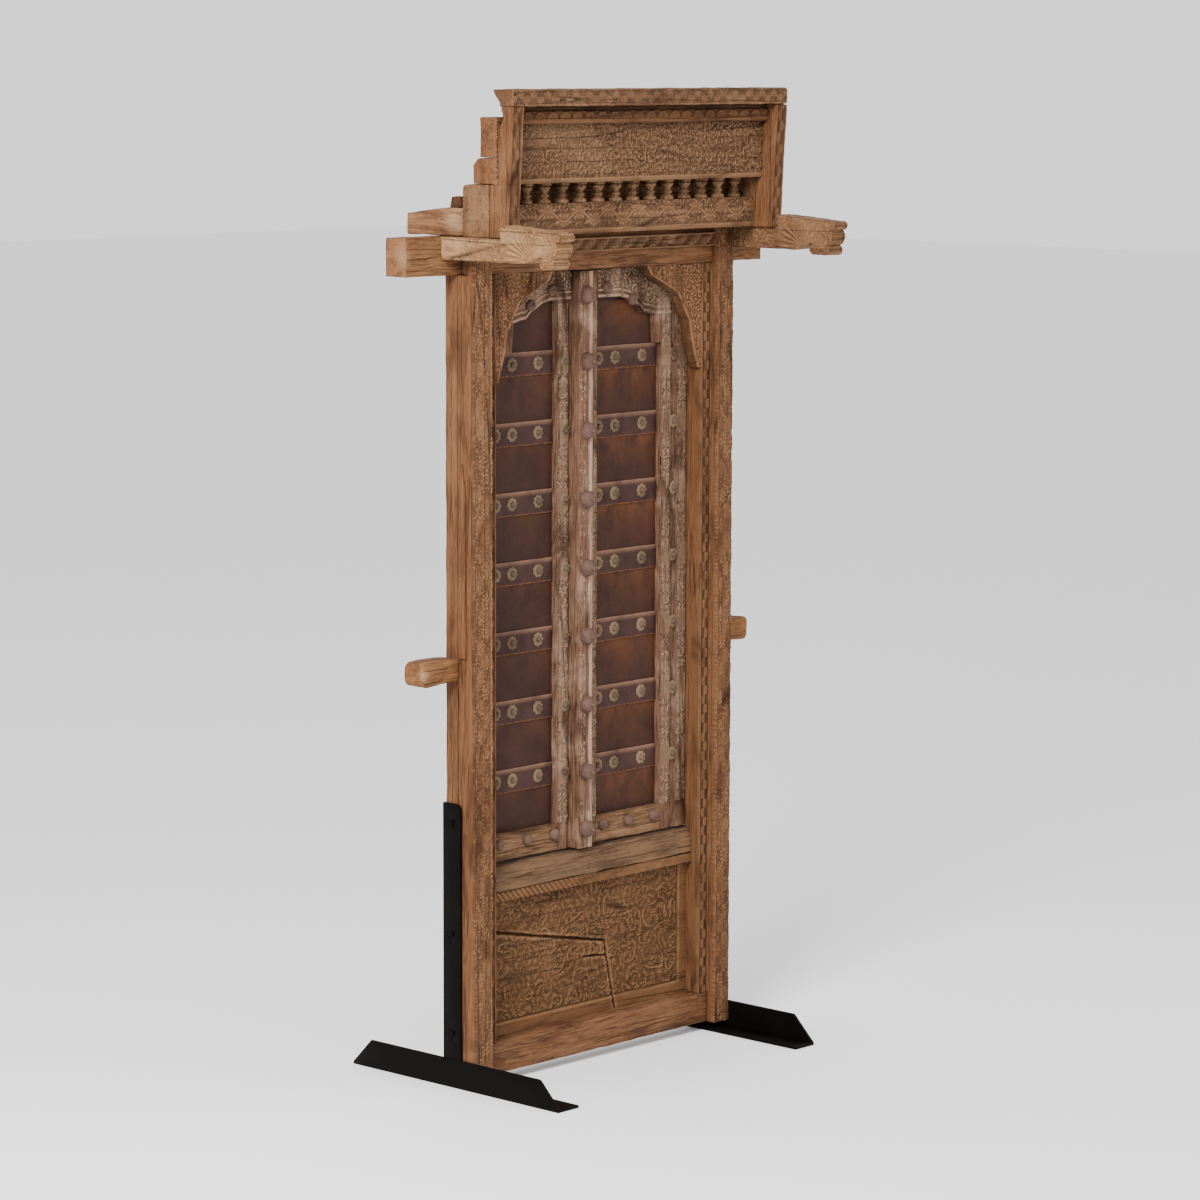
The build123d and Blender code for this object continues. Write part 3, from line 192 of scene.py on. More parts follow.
def old_wood(name, along, smooth, carved, dust=0.25, shade=0.3, bleached=()):
    """Old timber. smooth is its dark, middle and light colour where planed, carved the same where cut."""
    material, tree, shader = new_material(name)
    coordinates = add_node(tree, "ShaderNodeTexCoord")
    place = coordinates.outputs["Object"]
    fibre = stretch(tree, place, along_grain(along, 0.05))
    fine = cloud(tree, fibre, 420, 6, roughness=0.62, distortion=0.3)
    bands = cloud(tree, fibre, 60, 4, roughness=0.5, distortion=1.4)
    patches = cloud(tree, place, 7, 6, roughness=0.62, distortion=0.6)
    stains = cloud(tree, stretch(tree, place, along_grain(along, 0.28)), 22, 6, roughness=0.62, distortion=0.7)
    relief, ridge_highlight, cut = (add_node(tree, "ShaderNodeAttribute", attribute_name=value).outputs["Fac"]
                          for value in SURFACE_VALUES)

    # planed and carved faces; the darker carved ground is dirt and painted shade, the lighter ridges a painted
    # highlight
    planed = blend_colours(tree, narrow(tree, bands, 0.38, 0.60), smooth[0], smooth[1])
    planed = blend_colours(tree, narrow(tree, fine, 0.42, 0.66, 0, 0.85), planed, smooth[2])
    hollow_dirt_and_shade = blend_colours(tree, narrow(tree, relief, 0.15, 0.85), carved[0], carved[1])
    chiselled = blend_colours(tree, narrow(tree, ridge_highlight, 0.02, 0.30, 0, 0.6), hollow_dirt_and_shade, carved[2])
    chiselled = blend_colours(tree, narrow(tree, fine, 0.3, 0.75, 0, 0.35), chiselled, carved[2])
    base = blend_colours(tree, cut, planed, chiselled)

    # pale dust and dark stains in patches
    base = blend_colours(tree, narrow(tree, patches, 0.50, 0.68, 0, dust), base, carved[2])
    base = blend_colours(tree, narrow(tree, stains, 0.50, 0.66, 0, 2 * shade), base, carved[0])

    # splits that run along the grain, and are weak on the end grain
    checks = add_node(tree, "ShaderNodeTexVoronoi", feature="DISTANCE_TO_EDGE", inputs={"Scale": 34.0})
    link(tree, stretch(tree, place, along_grain(along, 0.035)), checks.inputs["Vector"])
    split = narrow(tree, checks.outputs["Distance"], 0.0, 0.04, 1, 0)
    split = combine(tree, "MULTIPLY", split, narrow(tree, patches, 0.42, 0.56))
    facing = add_node(tree, "ShaderNodeVectorMath", operation="DOT_PRODUCT")
    facing.inputs[1].default_value = GRAIN[along]
    link(tree, coordinates.outputs["Normal"], facing.inputs[0])
    end_grain = combine(tree, "ABSOLUTE", facing.outputs["Value"], 0)
    split = combine(tree, "MULTIPLY", split, narrow(tree, end_grain, 0.5, 0.8, 1, 0.15))

    # spots bleached by the sun
    for centre, radius in bleached:
        away = add_node(tree, "ShaderNodeVectorMath", operation="DISTANCE")
        away.inputs[1].default_value = centre
        link(tree, place, away.inputs[0])
        rim = combine(tree, "ADD", away.outputs["Value"], combine(tree, "MULTIPLY", bands, radius * 1.6))
        base = blend_colours(tree, narrow(tree, rim, radius * 0.9, radius * 2.1, 0.5, 0), base, SUN_BLEACHED)
    base = blend_colours(tree, combine(tree, "MULTIPLY", split, 0.85), base, DEEP_CRACK)
    link(tree, base, shader.inputs["Base Color"])
    shader.inputs["Roughness"].default_value = 0.72
    shader.inputs["Specular IOR Level"].default_value = 0.08
    height = combine(tree, "ADD", combine(tree, "MULTIPLY", fine, 0.6), combine(tree, "MULTIPLY", bands, 0.5))
    add_bump(tree, shader, combine(tree, "SUBTRACT", height, split), 0.55, 0.0012)
    return material


def drift(a, b, size, seed):
    """A smooth wander between about -1 and 1 over two distances, with waves of about one size."""
    draw = np.random.default_rng(seed)
    total = np.zeros_like(np.asarray(a, float) + np.asarray(b, float))
    for _ in range(7):
        way, pace, phase = draw.uniform(0, 2 * pi), draw.uniform(0.6, 1.6), draw.uniform(0, 2 * pi)
        total = total + np.sin(2 * pi * pace * (a * cos(way) + b * sin(way)) / size + phase)
    return np.clip(total / 3.2, -1, 1)


def new_shape():
    """An empty mesh under construction, with the three values that the wood reads."""
    shape = bmesh.new()
    for value in SURFACE_VALUES:
        shape.verts.layers.float.new(value)
    return shape


def add_carving(shape, outline, front, back, columns, rows, relief, depth):
    """A carved board: outline turns grid shares into x and z, relief gives 1 on top and 0 in the ground."""
    layers = [shape.verts.layers.float[value] for value in SURFACE_VALUES]
    made = bmesh.ops.create_grid(shape, x_segments=columns, y_segments=rows, size=0.5)["verts"]
    s = np.array([v.co.x for v in made]) + 0.5
    t = np.array([v.co.y for v in made]) + 0.5
    x, z = outline(s, t)
    height = np.clip(relief(x, z), -2, 1)
    # the height less its blur picks out the ridges, which the wood lightens as a painted highlight
    order = np.lexsort((np.round(s, 5), np.round(t, 5)))
    lattice = height[order].reshape(len(np.unique(np.round(t, 5))), -1)
    soft = np.pad(lattice, 3, mode="edge")
    for axis in (0, 1):
        soft = sum(np.roll(soft, shift, axis) for shift in range(-3, 4)) / 7
    highlight_crest = np.empty_like(height)
    highlight_crest[order] = (lattice - soft[3:-3, 3:-3]).ravel()
    for vert, px, pz, top, edge in zip(made, x, z, height, highlight_crest):
        vert.co = (px, front + depth * (1 - top), pz)
        for layer, value in zip(layers, (top, edge, 1)):
            vert[layer] = value
    rim = [e for e in shape.edges if e.is_boundary and e.verts[0][layers[2]] and e.verts[1][layers[2]]]
    sides = bmesh.ops.extrude_edge_only(shape, edges=rim)["geom"]
    for vert in (g for g in sides if isinstance(g, bmesh.types.BMVert)):
        vert.co.y = back
        for layer, value in zip(layers, (0.8, 0, 0)):
            vert[layer] = value
    open_rim = [g for g in sides if isinstance(g, bmesh.types.BMEdge) and g.is_boundary]
    bmesh.ops.holes_fill(shape, edges=open_rim, sides=0)
    return made


def add_board(shape, low, high, rounding=0.002, step=0.02, wander=0.0008, seed=1):
    """A planed board with rubbed edges, which wanders a little inside its true size."""
    low, high = Vector(low), Vector(high)
    made = bmesh.ops.create_cube(shape, size=1)["verts"]
    for vert in made:
        vert.co = Vector((low[i] + (vert.co[i] + 0.5) * (high[i] - low[i]) for i in range(3)))
    edges = list({e for v in made for e in v.link_edges})
    if rounding:
        made = bmesh.ops.bevel(shape, geom=edges, offset=rounding, segments=2, profile=0.5,
                               affect="EDGES", material=-1)["verts"]
    faces = list({f for v in made for f in v.link_faces})
    size = high - low
    for axis in range(3):
        count = int(size[axis] / step)
        normal = Vector([1.0 if i == axis else 0.0 for i in range(3)])
        for i in range(1, count):
            point = low + normal * (size[axis] * i / count)
            geom = list({e for f in faces for e in f.edges}) + list({v for f in faces for v in f.verts}) + faces
            cut = bmesh.ops.bisect_plane(shape, geom=geom, plane_co=point, plane_no=normal)
            faces = list({g for g in cut["geom"] if isinstance(g, bmesh.types.BMFace)})
    verts = list({v for f in faces for v in f.verts})
    sink_in(verts, low, high, wander, seed)
    return verts


def sink_in(verts, low, high, wander, seed, size=0.09):
    """Moves surface points inwards by up to the wander, more where wear would be."""
    co = np.array([v.co for v in verts])
    centre = (np.array(low) + np.array(high)) / 2
    half = (np.array(high) - np.array(low)) / 2
    moved = co.copy()
    for axis in range(3):
        others = [i for i in range(3) if i != axis]
        wave = 0.5 + 0.5 * drift(co[:, others[0]] + 0.3 * co[:, axis], co[:, others[1]], size, seed + axis)
        share = np.clip(np.abs(co[:, axis] - centre[axis]) / half[axis], 0, 1)
        moved[:, axis] -= np.sign(co[:, axis] - centre[axis]) * share * wander * wave
    for vert, place in zip(verts, moved):
        vert.co = place


def finish_piece(shape, name, body, slot, material, *replaced, angle=38):
    """Turns a construction into a piece that rides on its body and stands for its nodes."""
    bmesh.ops.recalc_face_normals(shape, faces=shape.faces)
    mesh = bpy.data.meshes.new(name)
    shape.to_mesh(mesh)
    shape.free()
    mesh.shade_smooth()
    mesh.set_sharp_from_angle(angle=radians(angle))
    for each in material if isinstance(material, (list, tuple)) else [material]:
        mesh.materials.append(each)
    piece = bpy.data.objects.new(name, mesh)
    bpy.context.scene.collection.objects.link(piece)
    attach(piece, body)
    if replaced:
        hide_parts(*replaced)
    return piece


def box_outline(x0, x1, z0, z1):
    return lambda s, t: (x0 + (x1 - x0) * s, z0 + (z1 - z0) * t)


def vine(u, v, width, pitch, seed):
    """A band of vine: a winding stem, a lobed leaf in each bend, and a plain margin on both sides."""
    v = v + 0.06 * pitch * drift(u, v, 5 * pitch, seed)
    stem = np.abs(u - 0.17 * width * np.sin(2 * pi * v / pitch)) / (0.055 * width)
    relief = np.clip(1.5 - stem, 0, 0.9)
    for side in (1, -1):
        phase = (v / pitch - (0.75 if side > 0 else 0.25)) % 1 - 0.5
        a, b = (u - side * 0.14 * width) / (0.30 * width), phase * pitch / (0.30 * pitch)
        reach, way = np.hypot(a, b), np.arctan2(b, a * side)
        lobes = 0.78 + 0.22 * np.abs(np.cos(2.5 * way))
        leaf = np.clip((lobes - reach) * 4, 0, 1) * (0.72 + 0.28 * np.cos(10 * way) * np.clip(reach * 2, 0, 1))
        relief = np.maximum(relief, leaf)
    margin = np.clip((np.abs(u) / width - 0.40) * 28, 0, 1)
    gutter = np.clip((np.abs(u) / width - 0.355) * 30, 0, 1) * (1 - margin)
    return np.maximum(relief * (1 - gutter), margin)


def foliage(x, z, spacing, seed, tight=0.55):
    """Leafy scrolls: round each bud a ring of curved leaves inside a stem, with ground cut between the rings."""
    draw = np.random.default_rng(seed)
    bend = 0.16 * spacing
    x, z = x + bend * drift(x, z, 1.9 * spacing, seed), z + bend * drift(x, z, 1.7 * spacing, seed + 1)
    nearest, second = np.full_like(x, 9.0), np.full_like(x, 9.0)
    turn, arms = np.zeros_like(x), np.full_like(x, 5.0)
    for row, cz in enumerate(np.arange(z.min() - spacing, z.max() + spacing, spacing * 0.87)):
        for cx in np.arange(x.min() - spacing, x.max() + spacing, spacing):
            px = cx + (row % 2) * spacing / 2 + draw.uniform(-0.17, 0.17) * spacing
            pz = cz + draw.uniform(-0.14, 0.14) * spacing
            hand, phase, count = draw.choice((-1, 1)), draw.uniform(0, 2 * pi), draw.integers(4, 8)
            reach = np.hypot(x - px, z - pz) * draw.uniform(0.85, 1.15)
            closer = reach < nearest
            second = np.where(closer, nearest, np.minimum(second, reach))
            turn = np.where(closer, hand * np.arctan2(z - pz, x - px) + phase, turn)
            arms = np.where(closer, count, arms)
            nearest = np.where(closer, reach, nearest)
    share = nearest / spacing
    leaves = np.clip(0.50 + 0.80 * np.cos(arms * turn + 2 * pi * share / tight), 0, 1)
    leaves = leaves * (0.72 + 0.28 * np.cos(2 * arms * turn - 44 * share))
    stem = np.clip(1.5 - np.abs(share - 0.36 - 0.07 * np.cos(turn)) / 0.035, 0, 1)
    stem = stem * np.clip(0.55 + np.cos(turn), 0, 0.9)
    bud = np.clip(0.6 + 0.5 * np.cos(6 * turn), 0, 1) * np.clip((0.14 - share) / 0.03, 0, 1)
    leaves = np.where(share < 0.155, 0, leaves)
    ground = np.clip((second - nearest) / (0.08 * spacing), 0, 1)
    return np.maximum(np.maximum(leaves * 0.85, stem) * ground, bud)


def wear_down(relief, x, z, amount, seed, size=0.07):
    """Rubs the carving flat and low in places."""
    rubbed = np.clip(0.5 + 0.9 * drift(x, z, size, seed), 0, 1) * amount
    level = 0.62 + 0.12 * drift(x, z, size / 3, seed + 5)
    return relief * (1 - rubbed) + rubbed * (0.35 * relief + 0.65 * level)


def carve_panel(name, body, slot, material, across, up, front, thick, cell, relief, depth, *replaced):
    """A flat carved board between two places across and two heights."""
    shape = new_shape()
    columns, rows = round((across[1] - across[0]) / cell), round((up[1] - up[0]) / cell)
    add_carving(shape, box_outline(*across, *up), front, front + thick, columns, rows, relief, depth)
    return finish_piece(shape, name, body, slot, material, *replaced)


SIDES = (("left", -1), ("right", 1))
SIDE_TONES = ((0.056, 0.022, 0.009), (0.113, 0.046, 0.018), (0.161, 0.071, 0.032))
FRONT_TONES = ((0.029, 0.011, 0.005), (0.096, 0.041, 0.018), (0.188, 0.097, 0.047))
upright_wood = old_wood("upright_wood", "z", SIDE_TONES, FRONT_TONES)
strip_wood = old_wood("strip_wood", "z", SIDE_TONES,
                      ((0.037, 0.013, 0.005), (0.134, 0.055, 0.023), (0.258, 0.137, 0.070)))
RUBBED_CORNER = 0.006
for side, sign in SIDES:
    low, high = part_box(f"{side}_outer_strip")
    middle, width = (low.x + high.x) / 2, high.x - low.x

    def strip_relief(x, z):
        cut = 0.45 * vine(x - middle, z, width, 0.062, 3) + 0.55 * foliage(x, z, 0.023, 3 + sign)
        cut = wear_down(cut, x, z, 0.75, 11 + sign)
        outer = np.clip((np.abs(x) - (max(abs(low.x), abs(high.x)) - RUBBED_CORNER)) / RUBBED_CORNER, 0, 1)
        return cut - outer * (0.35 + 0.45 * np.clip(drift(z, x, 0.05, 21 + sign) + 0.3, 0, 1))

    carve_panel(f"{side}_outer_strip_carved", "frame", "aged_wood", strip_wood, (low.x, high.x), (low.z, high.z),
                low.y, high.y - low.y, 0.0019, strip_relief, 0.0032, f"{side}_outer_strip")

# Main posts: the heavy jambs of one timber each. A narrow band of vine is cut along the edge
# next to the opening, and behind it a thinner lip stops the leaf. The faces are planed.
def worn_copy(node, rounding=0.002, step=0.02, wander=0.0009, seed=1, ways=(0, 1, 2), relief=None, depth=0.0):
    """A copy of a timber with rubbed edges, which wanders a little inwards, or is carved where relief says."""
    shape = bmesh.new()
    shape.from_mesh(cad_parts[node].data)
    layers = [shape.verts.layers.float.new(value) for value in SURFACE_VALUES]
    bmesh.ops.remove_doubles(shape, verts=shape.verts, dist=0.00001)
    bmesh.ops.dissolve_limit(shape, angle_limit=0.02, verts=shape.verts, edges=shape.edges)
    sharp = [e for e in shape.edges if len(e.link_faces) == 2 and e.calc_face_angle(0) > 0.6]
    if rounding:
        bmesh.ops.bevel(shape, geom=sharp, offset=rounding, segments=2, profile=0.5, affect="EDGES",
                        clamp_overlap=True, material=-1)
    co = np.array([v.co for v in shape.verts])
    low, high = co.min(0), co.max(0)
    for axis in ways:
        count = int((high[axis] - low[axis]) / step)
        normal = Vector([1.0 if i == axis else 0.0 for i in range(3)])
        for i in range(1, count):
            point = Vector(low) + normal * ((high[axis] - low[axis]) * i / count)
            geom = shape.verts[:] + shape.edges[:] + shape.faces[:]
            bmesh.ops.bisect_plane(shape, geom=geom, plane_co=point, plane_no=normal, dist=0.00001)
    shape.normal_update()
    co = np.array([v.co for v in shape.verts])
    normals = np.array([v.normal for v in shape.verts])
    sunk = wander * (0.5 + 0.5 * drift(co[:, 0] + co[:, 1], co[:, 2] + 0.4 * co[:, 1], 0.11, seed))
    sunk += 0.35 * wander * drift(co[:, 0] - co[:, 1], co[:, 2], 0.035, seed + 3)
    if relief:
        top, where = relief(co, normals)
        sunk += depth * (1 - top) * where
        for vert, a, b in zip(shape.verts, top, where):
            vert[layers[0]], vert[layers[2]] = a, b
            # the highest carving takes the painted ridge highlight
            vert[layers[1]] = max(0.0, a - 0.8) * b
    for vert, place in zip(shape.verts, co - normals * np.maximum(sunk, 0)[:, None]):
        vert.co = place
    return shape


def dress(material, *nodes):
    """Gives solids that are already right in shape their finish."""
    for node in nodes:
        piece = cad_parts[node]
        if not piece.material_slots:
            piece.data.materials.append(material)
        piece.material_slots[0].material = material


OPENING_EDGE, LIP_EDGE, BAND_EDGE = 0.3115, 0.3335, 0.3415
BAND_BACK, PANEL_FOOT, POST_HEAD = 0.011, 0.086, 1.66
for side, sign in SIDES:
    low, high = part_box(f"{side}_main_post")
    edge, lip, band = sign * OPENING_EDGE, sign * LIP_EDGE, sign * BAND_EDGE
    outer = high.x if sign > 0 else low.x

    def band_relief(x, z):
        cut = vine(x - (edge + band) / 2, z, 0.030, 0.041, 5)
        return wear_down(cut, x, z, 0.7, 31 + sign)

    shape = new_shape()
    add_carving(shape, box_outline(*sorted((edge, band)), PANEL_FOOT, POST_HEAD), low.y, BAND_BACK, 16, 820,
                band_relief, 0.0026)
    add_board(shape, (min(edge, lip), BAND_BACK, PANEL_FOOT), (max(edge, lip), high.y, POST_HEAD), 0.0012,
              seed=5 + sign)
    add_board(shape, (min(band, outer), low.y, low.z), (max(band, outer), BAND_BACK, POST_HEAD), 0.0022,
              seed=9 + sign)
    finish_piece(shape, f"{side}_main_post_worn", "frame", "aged_wood", upright_wood, f"{side}_main_post")

# Rear posts, splint and wall stubs: plain timbers behind the jambs, a thin tapered repair
# strip let into the left side, and the sawn off ends that once tied the frame to its wall.
def put_worn(node, slot, material, ending="worn", body="frame", **wear):
    """Puts a worn copy of a timber in its place."""
    finish_piece(worn_copy(node, **wear), f"{node}_{ending}", body, slot, material, node)


STUB_END = ((-0.49, 0.004, 0.866), 0.012)
stub_wood = old_wood("stub_wood", "x", ((0.073, 0.028, 0.010), (0.159, 0.066, 0.025), (0.229, 0.112, 0.049)),
                     FRONT_TONES, dust=0.35, shade=0.2, bleached=(STUB_END,))
for side, sign in SIDES:
    put_worn(f"{side}_rear_post", "aged_wood", upright_wood, rounding=0.0025, wander=0.0014, seed=13 + sign)
    put_worn(f"{side}_wall_stub", "aged_wood", stub_wood, rounding=0.004, step=0.012, wander=0.002, seed=17 + sign)
put_worn("left_side_splint", "aged_wood", upright_wood, rounding=0.0008, step=0.012, wander=0.0006, seed=23)

# Bottom rail: a plain rail tenoned between the outer strips, with swirling grain and a
# paler worn upper edge.
rail_wood = old_wood("rail_wood", "x", ((0.056, 0.022, 0.009), (0.120, 0.051, 0.023), (0.188, 0.091, 0.045)),
                     FRONT_TONES, dust=0.3, shade=0.35)
put_worn("bottom_rail", "aged_wood", rail_wood, rounding=0.003, wander=0.0016, seed=29)

# Lower panel: one board carved all over with leafy scrolls inside a plain border. Its lower
# left part has split off along a stepped crack, and the ground is dark with old dirt and painted shade.
def line_gap(x, z, points):
    """Distance from a bent line."""
    gap = np.full_like(x, 9.0)
    for (x0, z0), (x1, z1) in zip(points, points[1:]):
        along = np.clip(((x - x0) * (x1 - x0) + (z - z0) * (z1 - z0)) / ((x1 - x0) ** 2 + (z1 - z0) ** 2), 0, 1)
        gap = np.minimum(gap, np.hypot(x - x0 - along * (x1 - x0), z - z0 - along * (z1 - z0)))
    return gap


PANEL_CRACK = ((-OPENING_EDGE, 0.313), (-0.15, 0.279), (0.0555, 0.238), (0.0625, 0.197), (0.0855, PANEL_FOOT))
CRACK_BRANCH = ((-0.01, 0.213), (0.06, 0.206))
FIELD_HALF, FIELD_FOOT, FIELD_HEAD = 0.2845, 0.113, 0.372


def panel_relief(x, z):
    leaves = wear_down(np.maximum(foliage(x, z, 0.056, 7), 0.6 * foliage(x, z, 0.030, 8)), x, z, 0.55, 41, 0.12)
    inset = np.minimum(np.minimum(x + FIELD_HALF, FIELD_HALF - x), np.minimum(z - FIELD_FOOT, FIELD_HEAD - z))
    field = np.clip(inset / 0.002, 0, 1)
    relief = leaves * 0.92 * field + (1 - field) * (0.93 + 0.05 * drift(x, z, 0.03, 43))
    edge = np.clip(1 - np.abs(inset - 0.002) / 0.0022, 0, 1)
    gap = np.minimum(line_gap(x, z, PANEL_CRACK), line_gap(x, z, CRACK_BRANCH) + 0.001)
    crack = np.clip(1.6 - np.abs(gap + 0.0008 * drift(x, z, 0.03, 47)) / 0.0021, 0, 1)
    return relief * (1 - edge) * (1 - crack) - 1.6 * crack


panel_wood = old_wood("panel_wood", "x", SIDE_TONES,
                      ((0.026, 0.011, 0.003), (0.099, 0.043, 0.018), (0.198, 0.104, 0.051)))
low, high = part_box("lower_panel")
carve_panel("lower_panel_carved", "frame", "aged_wood", panel_wood, (-OPENING_EDGE, OPENING_EDGE),
            (PANEL_FOOT, low.z + 0.306), 0.016, 0.018, 0.0021, panel_relief, 0.0042, "lower_panel",
            "lower_panel_corner")

# Sill and its moulding: the rail under the leaves, rounded and bleached pale by weather and
# hands, and below it a thin strip with slanting cuts, worn away towards the right.
sill_wood = old_wood("sill_wood", "x", ((0.052, 0.027, 0.014), (0.095, 0.053, 0.028), (0.138, 0.083, 0.046)),
                     FRONT_TONES, dust=0.45, shade=0.25)
put_worn("sill", "bleached_wood", sill_wood, rounding=0.003, wander=0.0022, seed=53)


def moulding_relief(x, z):
    phase = ((x + 0.9 * (z - 0.382)) / 0.0145) % 1
    cut = 0.25 + 0.5 * np.clip(2.2 * np.abs(phase - 0.5) * 2 - 0.35, 0, 1)
    worn = np.clip((x + 0.12) / 0.15 + 0.3 * drift(x, z, 0.05, 57), 0, 0.9)
    return cut * (1 - worn) + worn * (0.75 + 0.15 * drift(x, z, 0.03, 59))


low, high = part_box("sill_moulding")
carve_panel("sill_moulding_carved", "frame", "aged_wood", panel_wood, (low.x, high.x), (low.z, high.z),
            low.y, high.y - low.y, 0.0018, moulding_relief, 0.0035, "sill_moulding")

# Head rail and its carved strip: the rail over the leaves, with a row of slanting leaves on
# a strip along its upper edge, above a light plain border.
def slanting_leaves(x, z, low, high, pitch, lean):
    """A row of slanting leaves with ribs, between two plain borders."""
    share = (z - low) / (high - low)
    phase = ((x + lean * (z - low)) / pitch) % 1 - 0.5
    leaf = np.clip(1.6 - np.abs(phase) / 0.27 / np.sqrt(np.clip(1.15 - (2 * share - 1) ** 2, 0.05, 2)), 0, 1)
    ribs = 0.68 + 0.32 * np.cos(2 * pi * (np.abs(phase) * 5 + share * 3))
    border = np.clip((np.abs(share - 0.5) - 0.40) * 30, 0, 1)
    return np.maximum(leaf * ribs, border)


put_worn("head_rail", "aged_wood", rail_wood, rounding=0.002, wander=0.0014, seed=61)
pale_carving = old_wood("pale_carving", "x", ((0.075, 0.031, 0.013), (0.142, 0.065, 0.029), (0.207, 0.105, 0.054)),
                        ((0.038, 0.015, 0.007), (0.133, 0.061, 0.029), (0.247, 0.143, 0.079)), dust=0.4, shade=0.2)
low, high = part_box("head_carved_strip")
carve_panel("head_strip_leaves", "frame", "bleached_wood", pale_carving, (low.x, high.x), (low.z, high.z), low.y,
            high.y - low.y, 0.0018,
            lambda x, z: wear_down(slanting_leaves(x, z, low.z, high.z, 0.040, -1.1), x, z, 0.5, 67), 0.0035,
            "head_carved_strip")

# Spandrels: the two cusped corner pieces under the head rail, finely hatched all over, with
# a raised rib along the cusps. Their plain edge faces are painted near black as painted shade.
spandrel_wood_painted_shade = old_wood("spandrel_wood_painted_shade", "z", ((0.012, 0.005, 0.003), (0.034, 0.015, 0.007), (0.070, 0.033, 0.015)),
                         ((0.038, 0.014, 0.006), (0.140, 0.057, 0.024), (0.270, 0.143, 0.071)))
SPANDREL_EDGE = ((0, 0.171), (0.019, 0.158), (0.031, 0.132), (0.058, 0.076), (0.111, 0.045), (0.117, 0.039),
                 (0.160, 0.032), (0.219, 0.012))
for side, sign in SIDES:
    low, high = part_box(f"{side}_spandrel")
    corner = sign * OPENING_EDGE
    drops, reaches = zip(*SPANDREL_EDGE)

    def spandrel_outline(s, t):
        drop = (high.z - low.z) * (1 - t)
        reach = np.interp(drop, drops, reaches)
        return corner - sign * reach * s, high.z - drop

    def spandrel_relief(x, z):
        inward = np.abs(corner - x)
        gap = np.interp(high.z - z, drops, reaches) - inward
        rib = np.clip(1.6 - np.abs(gap - 0.005) / 0.003, 0, 1)
        hatch = foliage(x, z, 0.027, 71 + sign)
        return np.maximum(wear_down(hatch, x, z, 0.4, 73) * np.clip((gap - 0.009) / 0.002, 0, 1), rib)

    shape = new_shape()
    add_carving(shape, spandrel_outline, low.y, high.y, 84, 110, spandrel_relief, 0.0026)
    finish_piece(shape, f"{side}_spandrel_carved", "frame", "aged_wood", spandrel_wood_painted_shade, f"{side}_spandrel")

# Lintel: the heavy beam behind the head rail. Its horns run out past the jambs, and their
# ends are bleached and split.
HORN_END = ((-0.545, 0.02, 1.705), 0.026)
beam_wood = old_wood("beam_wood", "x", ((0.071, 0.028, 0.011), (0.147, 0.063, 0.026), (0.234, 0.116, 0.054)),
                     FRONT_TONES, dust=0.4, shade=0.3, bleached=(HORN_END,))
put_worn("lintel_beam", "bleached_wood", beam_wood, rounding=0.003, wander=0.0024, seed=79)

# Brackets: the two corbels that carry the header, cut from the side, carved on both flanks
# and bleached almost to cream. A bud hangs under each head.
bracket_wood = old_wood("bracket_wood", "y", ((0.137, 0.064, 0.027), (0.236, 0.128, 0.061), (0.325, 0.192, 0.100)),
                        ((0.079, 0.033, 0.013), (0.215, 0.110, 0.050), (0.356, 0.216, 0.114)), dust=0.45, shade=0.15)
right_bracket_wood = old_wood("right_bracket_wood", "y",
                              ((0.080, 0.036, 0.016), (0.150, 0.072, 0.034), (0.250, 0.132, 0.066)),
                              ((0.045, 0.018, 0.008), (0.135, 0.064, 0.030), (0.290, 0.160, 0.082)),
                              dust=0.4, shade=0.2)
FAN_BACK, FAN_FRONT, FAN_TOP, FAN_FOOT = -0.165, -0.245, 1.745, (-0.235, 1.70)
for side, sign in SIDES:
    def bracket_relief(co, normals):
        y, z = co[:, 1], co[:, 2]
        leaves = foliage(y, z, 0.026 + 0.004 * sign, 83)
        ribs = 0.5 + 0.5 * np.cos(2 * pi * np.arctan2(z - FAN_FOOT[1], y - FAN_FOOT[0]) / 0.21)
        fan = np.clip((y - FAN_FRONT) / 0.01, 0, 1) * np.clip((FAN_BACK - y) / 0.01, 0, 1)
        fan = fan * np.clip((FAN_TOP - z) / 0.01, 0, 1)
        cut = leaves * (1 - fan) + ribs * fan
        cut = wear_down(cut, y, z, 0.45 if sign > 0 else 0.75, 89 + sign)
        flank = np.clip((np.abs(normals[:, 0]) - 0.8) * 10, 0, 1)
        head = np.clip((-normals[:, 1] - 0.7) * 5, 0, 1)
        return cut, np.maximum(flank, 0.8 * head) * np.clip((-0.03 - y) / 0.01, 0, 1)

    put_worn(f"{side}_bracket", "bleached_wood", right_bracket_wood if sign > 0 else bracket_wood, "carved",
             rounding=0.0025, step=0.0026, wander=0.002, seed=97 + sign, ways=(1, 2), relief=bracket_relief,
             depth=0.0032)

# Tails and pegs: the two beams that run back over the lintel and hold the header, with a
# wedge peg and small nubs of dark wood driven into them.
TAIL_FLANK = ((-0.411, 0.0, 1.772), 0.025)
tail_wood = old_wood("tail_wood", "y", ((0.068, 0.028, 0.012), (0.146, 0.065, 0.028), (0.243, 0.125, 0.061)),
                     FRONT_TONES, dust=0.4, shade=0.3, bleached=(TAIL_FLANK,))
for side, sign in SIDES:
    put_worn(f"{side}_header_tail", "aged_wood", tail_wood, rounding=0.0035, wander=0.0022, seed=101 + sign)
peg_wood = old_wood("peg_wood", "z", ((0.019, 0.007, 0.003), (0.047, 0.018, 0.008), (0.099, 0.042, 0.020)),
                    FRONT_TONES)
put_worn("tail_pegs", "aged_wood", peg_wood, rounding=0.002, step=0.008, wander=0.0012, seed=103)

